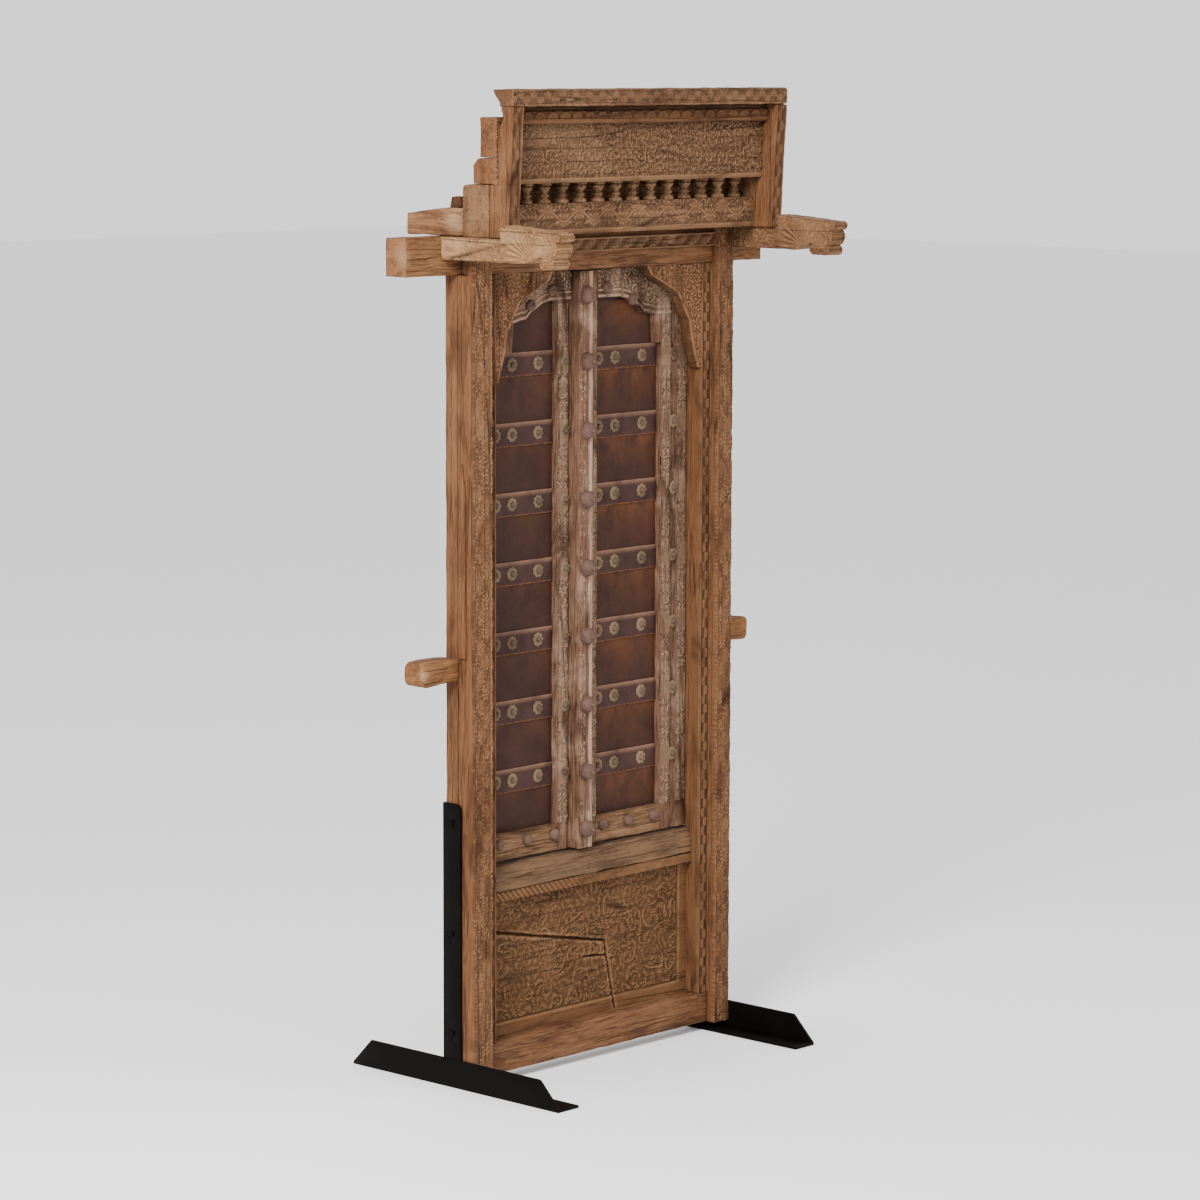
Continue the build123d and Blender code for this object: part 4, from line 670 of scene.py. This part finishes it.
# Header lower beam: a bleached beam with leafy scrolls across its front, a light plain strip
# below them, and a rebate along the top where the balusters stand.
header_wood = old_wood("header_wood", "x", ((0.055, 0.022, 0.009), (0.113, 0.051, 0.023), (0.180, 0.093, 0.047)),
                       ((0.030, 0.011, 0.005), (0.105, 0.049, 0.023), (0.210, 0.120, 0.064)), dust=0.35, shade=0.25)
HEADER_HALF, SCROLL_FOOT, SCROLL_HEAD, SCROLL_MIDDLE = 0.379, 1.740, 1.801, 1.7755
low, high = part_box("header_lower_beam")
put_worn("header_lower_beam", "bleached_wood", header_wood, rounding=0.002, wander=0.0014, seed=107)


def beam_relief(x, z):
    scrolls = np.maximum(vine(z - SCROLL_MIDDLE, x, 0.062, 0.088, 109), 0.75 * foliage(x, z, 0.034, 113))
    border = np.clip((1.749 - z) / 0.0015, 0, 1)
    return np.maximum(wear_down(scrolls, x, z, 0.45, 127), border * 0.95)


carve_panel("header_lower_scrolls", "frame", "bleached_wood", header_wood, (-HEADER_HALF, HEADER_HALF),
            (SCROLL_FOOT, SCROLL_HEAD), low.y - 0.0028, 0.006, 0.002, beam_relief, 0.003)

# Balusters: fourteen short turned posts between the two carved boards, each with a foot, a
# ring, a vase and a square block at the top.
BALUSTER_COUNT, BALUSTER_INSET, BLOCK_HALF, BLOCK_FOOT = 14, 0.039, 0.0118, 0.0345
BALUSTER_TURNING = ((0.0005, 0), (0.0145, 0), (0.0148, 0.003), (0.0128, 0.006), (0.0080, 0.008), (0.0068, 0.0105),
                    (0.0098, 0.012), (0.0112, 0.0145), (0.0095, 0.017), (0.0066, 0.0195), (0.0080, 0.023),
                    (0.0122, 0.028), (0.0138, 0.031), (0.0126, 0.0335), (0.0105, 0.035), (0.0005, 0.035))
baluster_wood = old_wood("baluster_wood", "z", ((0.075, 0.034, 0.015), (0.179, 0.096, 0.047), (0.278, 0.168, 0.095)),
                         FRONT_TONES, dust=0.5, shade=0.25)


def turn(shape, profile, centre, axis, steps, across):
    """Turns a profile of radii and heights about an axis through a centre."""
    centre, axis, across = Vector(centre), Vector(axis), Vector(across)
    verts = [shape.verts.new(centre + across * radius + axis * height) for radius, height in profile]
    edges = [shape.edges.new(pair) for pair in zip(verts, verts[1:])]
    bmesh.ops.spin(shape, geom=verts + edges, cent=centre, axis=axis, dvec=(0, 0, 0), angle=2 * pi, steps=steps,
                   use_merge=True)


low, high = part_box("header_balusters")
shape = new_shape()
draw = np.random.default_rng(131)
for i in range(BALUSTER_COUNT):
    x, y = (-1 + 2 * i / (BALUSTER_COUNT - 1)) * (HEADER_HALF - BALUSTER_INSET), (low.y + high.y) / 2
    size = draw.uniform(0.94, 1.0)
    turn(shape, [(radius * size, height) for radius, height in BALUSTER_TURNING], (x, y, low.z), (0, 0, 1), 20,
         (1, 0, 0))
    half = BLOCK_HALF * size
    add_board(shape, (x - half, y - half, low.z + BLOCK_FOOT), (x + half, y + half, high.z), 0.0014, 0.02, 0.0008,
              137 + i)
finish_piece(shape, "header_balusters_turned", "frame", "bleached_wood", baluster_wood, "header_balusters")

# Upper panel and the stepped boards behind it: the panel is carved all over with close
# foliage, and the boards are plain, with ends that show smooth and orange at the side.
header_board_wood = old_wood("header_board_wood", "x", SIDE_TONES, FRONT_TONES, dust=0.35, shade=0.2)
for node, seed in (("header_middle_board", 139), ("header_upper_board", 149)):
    put_worn(node, "aged_wood", header_board_wood, rounding=0.003, wander=0.0018, seed=seed)
low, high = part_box("header_upper_panel")


def upper_relief(x, z):
    leaves = np.maximum(foliage(x, z, 0.036, 151), 0.7 * foliage(x, z, 0.021, 157))
    border = np.clip((1.853 - z) / 0.0015, 0, 1)
    return np.maximum(wear_down(leaves, x, z, 0.4, 163), border)


carve_panel("header_upper_foliage", "frame", "bleached_wood", header_wood, (low.x, high.x), (low.z, high.z),
            low.y, high.y - low.y, 0.0021, upper_relief, 0.0038, "header_upper_panel")

# Header surround: two leaning posts, a cornice of small scallops darkened by painted shadow, and a
# heavy top rail with dense carving, mitred at the left. A plain fillet closes the joint behind them.
HEADER_POST_MIDDLE, TOP_RAIL_MIDDLE, MITRE_FROM = 0.395, 2.0125, (-0.411, 2.03)
header_post_wood = old_wood("header_post_wood", "z", SIDE_TONES, FRONT_TONES, dust=0.35, shade=0.2)
for side, sign in SIDES:
    def post_relief(co, normals):
        x, z = co[:, 0], co[:, 2]
        cut = vine(x - sign * HEADER_POST_MIDDLE, z, 0.032, 0.045, 167)
        return wear_down(cut, x, z, 0.5, 173 + sign), np.clip((-normals[:, 1] - 0.75) * 6, 0, 1)

    put_worn(f"header_{side}_post", "aged_wood", header_post_wood, "carved", rounding=0.002, step=0.0026,
             wander=0.0014, seed=179 + sign, ways=(0, 2), relief=post_relief, depth=0.0028)


def top_relief(co, normals):
    x, z = co[:, 0], co[:, 2]
    cut = np.maximum(vine(z - TOP_RAIL_MIDDLE, x, 0.034, 0.040, 181), 0.7 * foliage(x, z, 0.019, 191))
    mitre = np.clip(np.abs((x - MITRE_FROM[0]) - (MITRE_FROM[1] - z)) / 0.0012 - 0.4, 0, 1)
    return wear_down(cut, x, z, 0.45, 193) * mitre, np.clip((-normals[:, 1] - 0.75) * 6, 0, 1)


put_worn("header_top_rail", "bleached_wood", header_wood, "carved", rounding=0.0025, step=0.0026, wander=0.0016,
         seed=197, ways=(0, 2), relief=top_relief, depth=0.0030)
shape = new_shape()
add_board(shape, (-HEADER_HALF, -0.126, 1.962), (0.4105, -0.106, 2.002), 0.001, 0.03, 0.0004, 201)
for inner, outer in ((-0.4085, -0.3815), (0.3815, 0.4085)):
    add_board(shape, (inner, -0.1600, 1.984), (outer, -0.1315, 2.004), 0.001, 0.03, 0.0004, 205)
finish_piece(shape, "header_back_fillet", "frame", "aged_wood", header_wood)
low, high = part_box("header_cornice")
# The darker carved tones here are painted shadow under the top rail.
cornice_wood_painted_shadow = old_wood("cornice_wood_painted_shadow", "x", SIDE_TONES,
                        ((0.017, 0.006, 0.003), (0.066, 0.027, 0.012), (0.166, 0.082, 0.037)))


def scallop_relief(x, z):
    phase = ((x / 0.036) % 1) - 0.5
    share = (z - low.z) / (high.z - low.z)
    rise = np.clip((share - 0.34) / 0.36, 0, 1)
    inside = np.clip((0.46 * np.sqrt(1 - rise ** 2) - np.abs(phase)) / 0.08, 0, 1)
    vein = 1 - 0.5 * np.clip(1 - np.abs(phase) / 0.05, 0, 1)
    scallops = (0.45 + 0.4 * inside * vein) * np.clip((0.74 - share) / 0.03, 0, 1)
    roll = np.sqrt(np.clip(1 - ((share - 0.16) / 0.17) ** 2, 0, 1))
    return np.where(share < 0.34, 0.5 + 0.5 * roll, wear_down(scallops, x, z, 0.4, 195))


carve_panel("header_cornice_scallops", "frame", "bleached_wood", cornice_wood_painted_shadow, (low.x, high.x), (low.z, high.z),
            low.y, high.y - low.y, 0.002, scallop_relief, 0.008, "header_cornice")

# Leaf stiles, heads and bottom rails: pale worn framing of the two leaves. Strips of petals
# are carved along the stiles, beside a plain groove, and the heads are cut to cusps.
leaf_wood = old_wood("leaf_wood", "z", ((0.044, 0.018, 0.010), (0.098, 0.046, 0.026), (0.200, 0.112, 0.068)),
                     ((0.030, 0.013, 0.007), (0.125, 0.066, 0.038), (0.330, 0.215, 0.145)), dust=0.62, shade=0.45)
leaf_rail_wood = old_wood("leaf_rail_wood", "x",
                          ((0.062, 0.027, 0.012), (0.145, 0.074, 0.037), (0.232, 0.134, 0.073)), FRONT_TONES,
                          dust=0.5, shade=0.3)


def petals(u, v, width, pitch):
    """A chain of pointed petals, each with a cut along its middle."""
    phase = (v / pitch) % 1
    half = 0.50 * width * np.sqrt(np.clip(np.sin(pi * np.clip(phase, 0.02, 0.98)), 0, 1))
    petal = np.clip((half - np.abs(u)) / (0.16 * width), 0, 1)
    vein = 1 - 0.55 * np.clip(1.5 - np.abs(u) / (0.09 * width), 0, 1) * np.clip(phase * 4, 0, 1)
    return petal * vein


ARCH_START, ARCH_RUN, ARCH_TOP, HEAD_TOP = 0.1065, 0.111, 1.597, 1.656
ARCH_CUSPS = ((0, 0), (0.23, 0.006), (0.41, 0.017), (0.53, 0.023), (0.64, 0.035), (0.78, 0.037), (0.96, 0.042))
HEAD_REACH = {"left": (-0.045, -0.2695), "right": (0.035, 0.262)}
PETAL_STRIPS = {"left": (("hanging", -0.2975, -0.2695), ("meeting", -0.084, -0.054)),
                "right": (("hanging", 0.234, 0.262), ("outer", 0.283, 0.3115), ("meeting", 0.003, 0.034))}
PETALS_FOOT, PETALS_HEAD, OVERLAY_FRONT = 0.507, 1.59, 0.0228
FIRST_STRAP, STRAP_PITCH, PLAIN_BLOCK = 0.612, 0.143, 0.024


def arch_line(x):
    """The height of the cusped lower edge of a leaf's head."""
    share = np.clip((np.abs(x) - ARCH_START) / ARCH_RUN, 0, 1)
    return ARCH_TOP - np.interp(share, *zip(*ARCH_CUSPS))


for side, sign in SIDES:
    body = f"{side}_leaf"
    put_worn(f"{body}_bottom_rail", "aged_wood", leaf_rail_wood, body=body, rounding=0.0015, wander=0.0012,
             seed=199 + sign)
    for stile, seed in (("hanging", 211), ("meeting", 223)):
        put_worn(f"{body}_{stile}_stile", "aged_wood", leaf_wood, body=body, rounding=0.0008, wander=0.0007,
                 seed=seed + sign, ways=(2,))
    for word, x0, x1 in PETAL_STRIPS[side]:
        middle = (x0 + x1) / 2

        def petal_relief(x, z):
            cut = 0.35 * petals(x - middle, z, x1 - x0, 0.024) + 0.75 * foliage(x, z, 0.016, 225 + round(x0 * 100))
            at_strap = np.abs((z - FIRST_STRAP + STRAP_PITCH / 2) % STRAP_PITCH - STRAP_PITCH / 2)
            plain = np.clip((PLAIN_BLOCK - at_strap) / 0.003, 0, 1)
            return wear_down(cut * (1 - plain) + 0.7 * plain, x, z, 0.7, 227, 0.05)

        carve_panel(f"{body}_{word}_petals", body, "bleached_wood", leaf_wood, (x0, x1), (PETALS_FOOT, PETALS_HEAD),
                    OVERLAY_FRONT, 0.005, 0.0022, petal_relief, 0.0024)

    def head_outline(s, t):
        start, end = HEAD_REACH[side]
        x = start + (end - start) * s
        lowest = arch_line(x)
        return x, lowest + (HEAD_TOP - lowest) * t

    def head_relief(x, z):
        gap = z - arch_line(x)
        rib = np.clip(1.6 - np.abs(gap - 0.004) / 0.003, 0, 1) + np.clip(1.5 - np.abs(gap - 0.016) / 0.002, 0, 1)
        leaves = foliage(x, z, 0.024, 229 + sign) * np.clip((gap - 0.019) / 0.002, 0, 1)
        return np.maximum(wear_down(leaves, x, z, 0.5, 233), np.clip(rib, 0, 1))

    put_worn(f"{body}_arch_head", "aged_wood", leaf_wood, body=body, rounding=0.0008, wander=0.0006, seed=239)
    shape = new_shape()
    add_carving(shape, head_outline, OVERLAY_FRONT, 0.027, 110, 44, head_relief, 0.0024)
    finish_piece(shape, f"{body}_arch_head_leaves", body, "bleached_wood", leaf_wood)

# Astragal: the cover strip on the left leaf, whitish and cut with small petals beside a
# smooth pinkish half round bead.
BEAD_FROM, BEAD_MIDDLE = 0.64, 0.83
low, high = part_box("left_leaf_astragal")
put_worn("left_leaf_astragal", "bleached_wood", leaf_wood, body="left_leaf", rounding=0.0008, wander=0.0006, seed=241,
         ways=(2,))
astragal_wood = old_wood("astragal_wood", "z", ((0.090, 0.044, 0.028), (0.190, 0.104, 0.070), (0.330, 0.205, 0.150)),
                         ((0.060, 0.028, 0.017), (0.215, 0.120, 0.080), (0.420, 0.275, 0.190)), dust=0.6, shade=0.35)


def astragal_relief(x, z):
    across = (x - low.x) / (high.x - low.x)
    leaves = 0.4 * petals(x - low.x - 0.012, z, 0.022, 0.019) + 0.7 * foliage(x, z, 0.015, 253)
    leaves = wear_down(leaves, x, z, 0.6, 251)
    bead = np.sqrt(np.clip(1 - ((across - BEAD_MIDDLE) / 0.17) ** 2, 0, 1))
    shoulder = np.clip(across / 0.08, 0, 1)
    return np.where(across > BEAD_FROM, bead, leaves * shoulder * np.clip((BEAD_FROM - across) / 0.04, 0, 1))


carve_panel("left_leaf_astragal_leaves", "left_leaf", "bleached_wood", astragal_wood,
            (low.x + 0.0004, high.x - 0.0004), (low.z + 0.001, high.z - 0.001), low.y - 0.0004, 0.004, 0.0017,
            astragal_relief, 0.0028)

# Iron sheets and straps: dark sheets nailed over the planks, rusted orange under each strap,
# and seven straps across each leaf with a worn, dusty upper edge made lighter still by a painted highlight.
STRAP_FOOT = 0.587
ORANGE_RUST, WORN_EDGE_AND_HIGHLIGHT, FOOT_RUST = (0.150, 0.050, 0.0125), (0.200, 0.105, 0.066), (0.160, 0.058, 0.018)


def old_iron(name, dark, light, rust, strap_edge=0, roughness=0.55):
    """Dark forged iron. Rust runs down from the line of each strap and fades."""
    material, tree, shader = new_material(name)
    place = add_node(tree, "ShaderNodeTexCoord").outputs["Object"]
    axes = add_node(tree, "ShaderNodeSeparateXYZ")
    link(tree, place, axes.inputs[0])
    broad = cloud(tree, place, 14, 6, roughness=0.65, distortion=0.5)
    fine = cloud(tree, place, 160, 5, 0.6)
    streaks = cloud(tree, stretch(tree, place, along_grain("z", 0.5)), 20, 7, roughness=0.68, distortion=0.5)
    from_foot = combine(tree, "SUBTRACT", axes.outputs["Z"], STRAP_FOOT)
    level = combine(tree, "FRACT", combine(tree, "DIVIDE", from_foot, STRAP_PITCH), 0)
    base = blend_colours(tree, narrow(tree, broad, 0.32, 0.68), dark, light)
    base = blend_colours(tree, narrow(tree, fine, 0.35, 0.75, 0, 0.45), base, light)
    run = combine(tree, "MULTIPLY", combine(tree, "POWER", level, 2.0), narrow(tree, streaks, 0.36, 0.60, 0.15, 1.1))
    where = narrow(tree, axes.outputs["X"], -0.1, 0.02, 0.30, 0.8)
    high_up = narrow(tree, axes.outputs["Z"], 1.00, 1.50, 0.75, 1.0)
    amount = combine(tree, "MULTIPLY", combine(tree, "MULTIPLY", run, where), high_up)
    base = blend_colours(tree, combine(tree, "MULTIPLY", amount, rust), base, ORANGE_RUST)
    if strap_edge:
        # The strap's upper edge is lightened: wear and dust, and a painted highlight where the light catches it.
        worn = combine(tree, "MULTIPLY", narrow(tree, level, 0.27, 0.345), narrow(tree, broad, 0.3, 0.55, 0.4, 1))
        base = blend_colours(tree, combine(tree, "MULTIPLY", worn, strap_edge), base, WORN_EDGE_AND_HIGHLIGHT)
        foot = combine(tree, "MULTIPLY", narrow(tree, level, 0.028, 0.012), narrow(tree, fine, 0.35, 0.6))
        base = blend_colours(tree, combine(tree, "MULTIPLY", foot, strap_edge), base, FOOT_RUST)
    link(tree, base, shader.inputs["Base Color"])
    shader.inputs["Specular IOR Level"].default_value = 0.12
    link(tree, narrow(tree, fine, 0.3, 0.7, roughness - 0.1, roughness + 0.15), shader.inputs["Roughness"])
    add_bump(tree, shader, combine(tree, "ADD", fine, combine(tree, "MULTIPLY", broad, 1.5)), 0.5, 0.0014)
    return material


sheet_iron = old_iron("sheet_iron", (0.017, 0.0068, 0.0052), (0.036, 0.0145, 0.0110), rust=0.62)
strap_iron = old_iron("strap_iron", (0.018, 0.0072, 0.0062), (0.052, 0.023, 0.019), rust=0.1, strap_edge=0.8)
for side, sign in SIDES:
    dress(sheet_iron, f"{side}_leaf_iron_sheet")
    put_worn(f"{side}_leaf_straps", "old_iron", strap_iron, "forged", f"{side}_leaf", rounding=0.0008, step=0.014,
             wander=0.0007, seed=257 + sign)

# Rosettes: small eight petalled plates, four to a strap, once painted, each held by a dark
# domed nail.
rosette_metal = old_iron("rosette_metal", (0.050, 0.031, 0.016), (0.170, 0.120, 0.066), rust=0.15, roughness=0.6)
nail_iron = old_iron("nail_iron", (0.030, 0.014, 0.011), (0.120, 0.068, 0.050), rust=0, roughness=0.45)
ROSETTE_BOW = ((0.0035, 0.0026), (0.0062, 0.0022), (0.0095, 0.0030), (0.0128, 0.0026), (0.0152, 0.0012),
               (0.0156, 0.0))
NAIL_HEAD = ((0.0066, 0.0012), (0.0066, 0.0030), (0.0056, 0.0056), (0.0034, 0.0070), (0.0004, 0.0075))
STRAP_FRONT, STILE_FRONT = 0.038, 0.025
ROSETTES = {"left": ((-0.2525, STRAP_FRONT), (-0.205, STRAP_FRONT), (-0.128, STRAP_FRONT), (-0.0613, STILE_FRONT)),
            "right": ((0.052, STRAP_FRONT), (0.103, STRAP_FRONT), (0.187, STRAP_FRONT), (0.2725, STILE_FRONT))}
STRAP_LEVELS = [FIRST_STRAP + STRAP_PITCH * i for i in range(7)]
for side, sign in SIDES:
    body = f"{side}_leaf"
    shape, nails = new_shape(), new_shape()
    draw = np.random.default_rng(263 + sign)
    for z in STRAP_LEVELS:
        for x, y in ROSETTES[side]:
            tip, size = draw.uniform(0, pi / 4), draw.uniform(0.93, 1.0)
            turn(shape, ROSETTE_BOW, (x, y, z), (0, -1, 0), 32, (1, 0, 0))
            for vert in {v for v in shape.verts if (v.co - Vector((x, y, z))).length < 0.02}:
                across, up = vert.co.x - x, vert.co.z - z
                reach = np.hypot(across, up)
                petal = abs(cos(4 * (np.arctan2(up, across) + tip)))
                far = min(1, max(0, (reach - 0.005) / 0.009))
                scale = size * (1 - 0.20 * far * (1 - petal ** 0.5))
                vert.co = (x + across * scale, y - (y - vert.co.y) * (0.55 + 0.45 * petal ** 0.7), z + up * scale)
            turn(nails, NAIL_HEAD, (x, y, z), (0, -1, 0), 14, (1, 0, 0))
    finish_piece(shape, f"{body}_rosette_petals", body, "rosette_metal", rosette_metal, f"{body}_rosettes")
    finish_piece(nails, f"{body}_rosette_nails", body, "dome_iron", nail_iron)

# Bosses and dome nails: hammered iron domes with a small nail head on top, in a row down the
# astragal, on the bottom rails and on the arch heads, and four nails in the right jamb, bare metal made pale with a
# painted glint.
dome_iron = old_iron("dome_iron", (0.040, 0.020, 0.016), (0.135, 0.074, 0.055), rust=0, roughness=0.5)
# Pale nail heads: bare metal with a painted glint.
bare_iron_painted_glint = old_iron("bare_iron_painted_glint", (0.16, 0.12, 0.11), (0.42, 0.36, 0.33), rust=0, roughness=0.35)
RAIL_STUDS, HEAD_STUDS = 0.485, (1.618, 1.590)
STUDS = {"left": ((-0.256, RAIL_STUDS), (-0.1745, RAIL_STUDS), (-0.093, RAIL_STUDS), (-0.104, HEAD_STUDS[0]),
                  (-0.166, HEAD_STUDS[1])),
         "right": ((0.054, RAIL_STUDS), (0.133, RAIL_STUDS), (0.212, RAIL_STUDS), (0.062, HEAD_STUDS[0]),
                   (0.140, HEAD_STUDS[1]))}
BOSS_LEVELS = (0.491, *STRAP_LEVELS, 1.607)
POST_NAIL_LEVELS = (1.471, 1.348, 1.256, 1.194)


def add_dome(shape, x, y, z, radius, height, lobes, seed):
    """A hammered dome on a scalloped rim, with the head of its nail."""
    start = set(shape.verts)
    curve = [(radius * cos(a), height * (0.16 + 0.62 * sin(a))) for a in np.linspace(0, 1.25, 7)]
    profile = [(radius, 0), *curve, (radius * 0.27, height * 0.76), (radius * 0.27, height * 0.86),
               (radius * 0.20, height * 0.95), (0.0004, height * 0.985)]
    turn(shape, profile, (x, y, z), (0, -1, 0), 32, (1, 0, 0))
    for vert in set(shape.verts) - start:
        across, up = vert.co.x - x, vert.co.z - z
        reach = np.hypot(across, up) / radius
        ripple = 1 - 0.07 * min(1, reach * 1.1) ** 4 * (0.5 + 0.5 * cos(lobes * np.arctan2(up, across)))
        dent = 1 - 0.03 * float(drift(across, up, radius, seed))
        vert.co = (x + across * ripple * dent, vert.co.y, z + up * ripple * dent)


for side in STUDS:
    body = f"{side}_leaf"
    shape = new_shape()
    for i, (x, z) in enumerate(STUDS[side]):
        add_dome(shape, x, STILE_FRONT, z, radius=0.0128, height=0.014, lobes=8, seed=269 + i)
    finish_piece(shape, f"{body}_studs_hammered", body, "dome_iron", dome_iron, f"{body}_studs")
shape = new_shape()
for i, z in enumerate(BOSS_LEVELS):
    add_dome(shape, -0.0235, 0.0, z, radius=0.0187, height=0.0255, lobes=10, seed=271 + i)
finish_piece(shape, "left_leaf_bosses_hammered", "left_leaf", "dome_iron", dome_iron, "left_leaf_bosses")
shape = new_shape()
for i, z in enumerate(POST_NAIL_LEVELS):
    add_dome(shape, 0.3465, -0.0208, z, radius=0.0034, height=0.0026, lobes=8, seed=281 + i)
finish_piece(shape, "right_post_nails", "frame", "dome_iron", bare_iron_painted_glint)

# Backing planks: rough dark boards that the iron is nailed to, seen from behind only.
plank_wood = old_wood("plank_wood", "z", ((0.039, 0.014, 0.006), (0.088, 0.035, 0.015), (0.149, 0.066, 0.032)),
                      FRONT_TONES)
dress(plank_wood, "left_leaf_planks", "right_leaf_planks")

# Stand: two feet and two uprights of steel angle, painted matt black, and screwed to the
# sides and back of the frame with hexagon headed screws.
def black_paint():
    """Matt black paint on steel, scuffed a little brown."""
    material, tree, shader = new_material("black_paint")
    place = add_node(tree, "ShaderNodeTexCoord").outputs["Object"]
    broad, fine = cloud(tree, place, 9, 6, roughness=0.6, distortion=0.4), cloud(tree, place, 260, 4, 0.6)
    base = blend_colours(tree, narrow(tree, broad, 0.4, 0.75, 0, 0.8), (0.0012, 0.0009, 0.0007),
                         (0.0040, 0.0026, 0.0018))
    link(tree, base, shader.inputs["Base Color"])
    link(tree, narrow(tree, broad, 0.3, 0.7, 0.42, 0.62), shader.inputs["Roughness"])
    shader.inputs["Specular IOR Level"].default_value = 0.05
    add_bump(tree, shader, fine, 0.25, 0.0006)
    return material


stand_paint = black_paint()
for node in ("left_foot", "right_foot", "left_upright", "right_upright"):
    put_worn(node, "stand_steel", stand_paint, "painted", rounding=0.0006, step=0.05, wander=0.0, seed=277)
dress(stand_paint, "stand_screws")
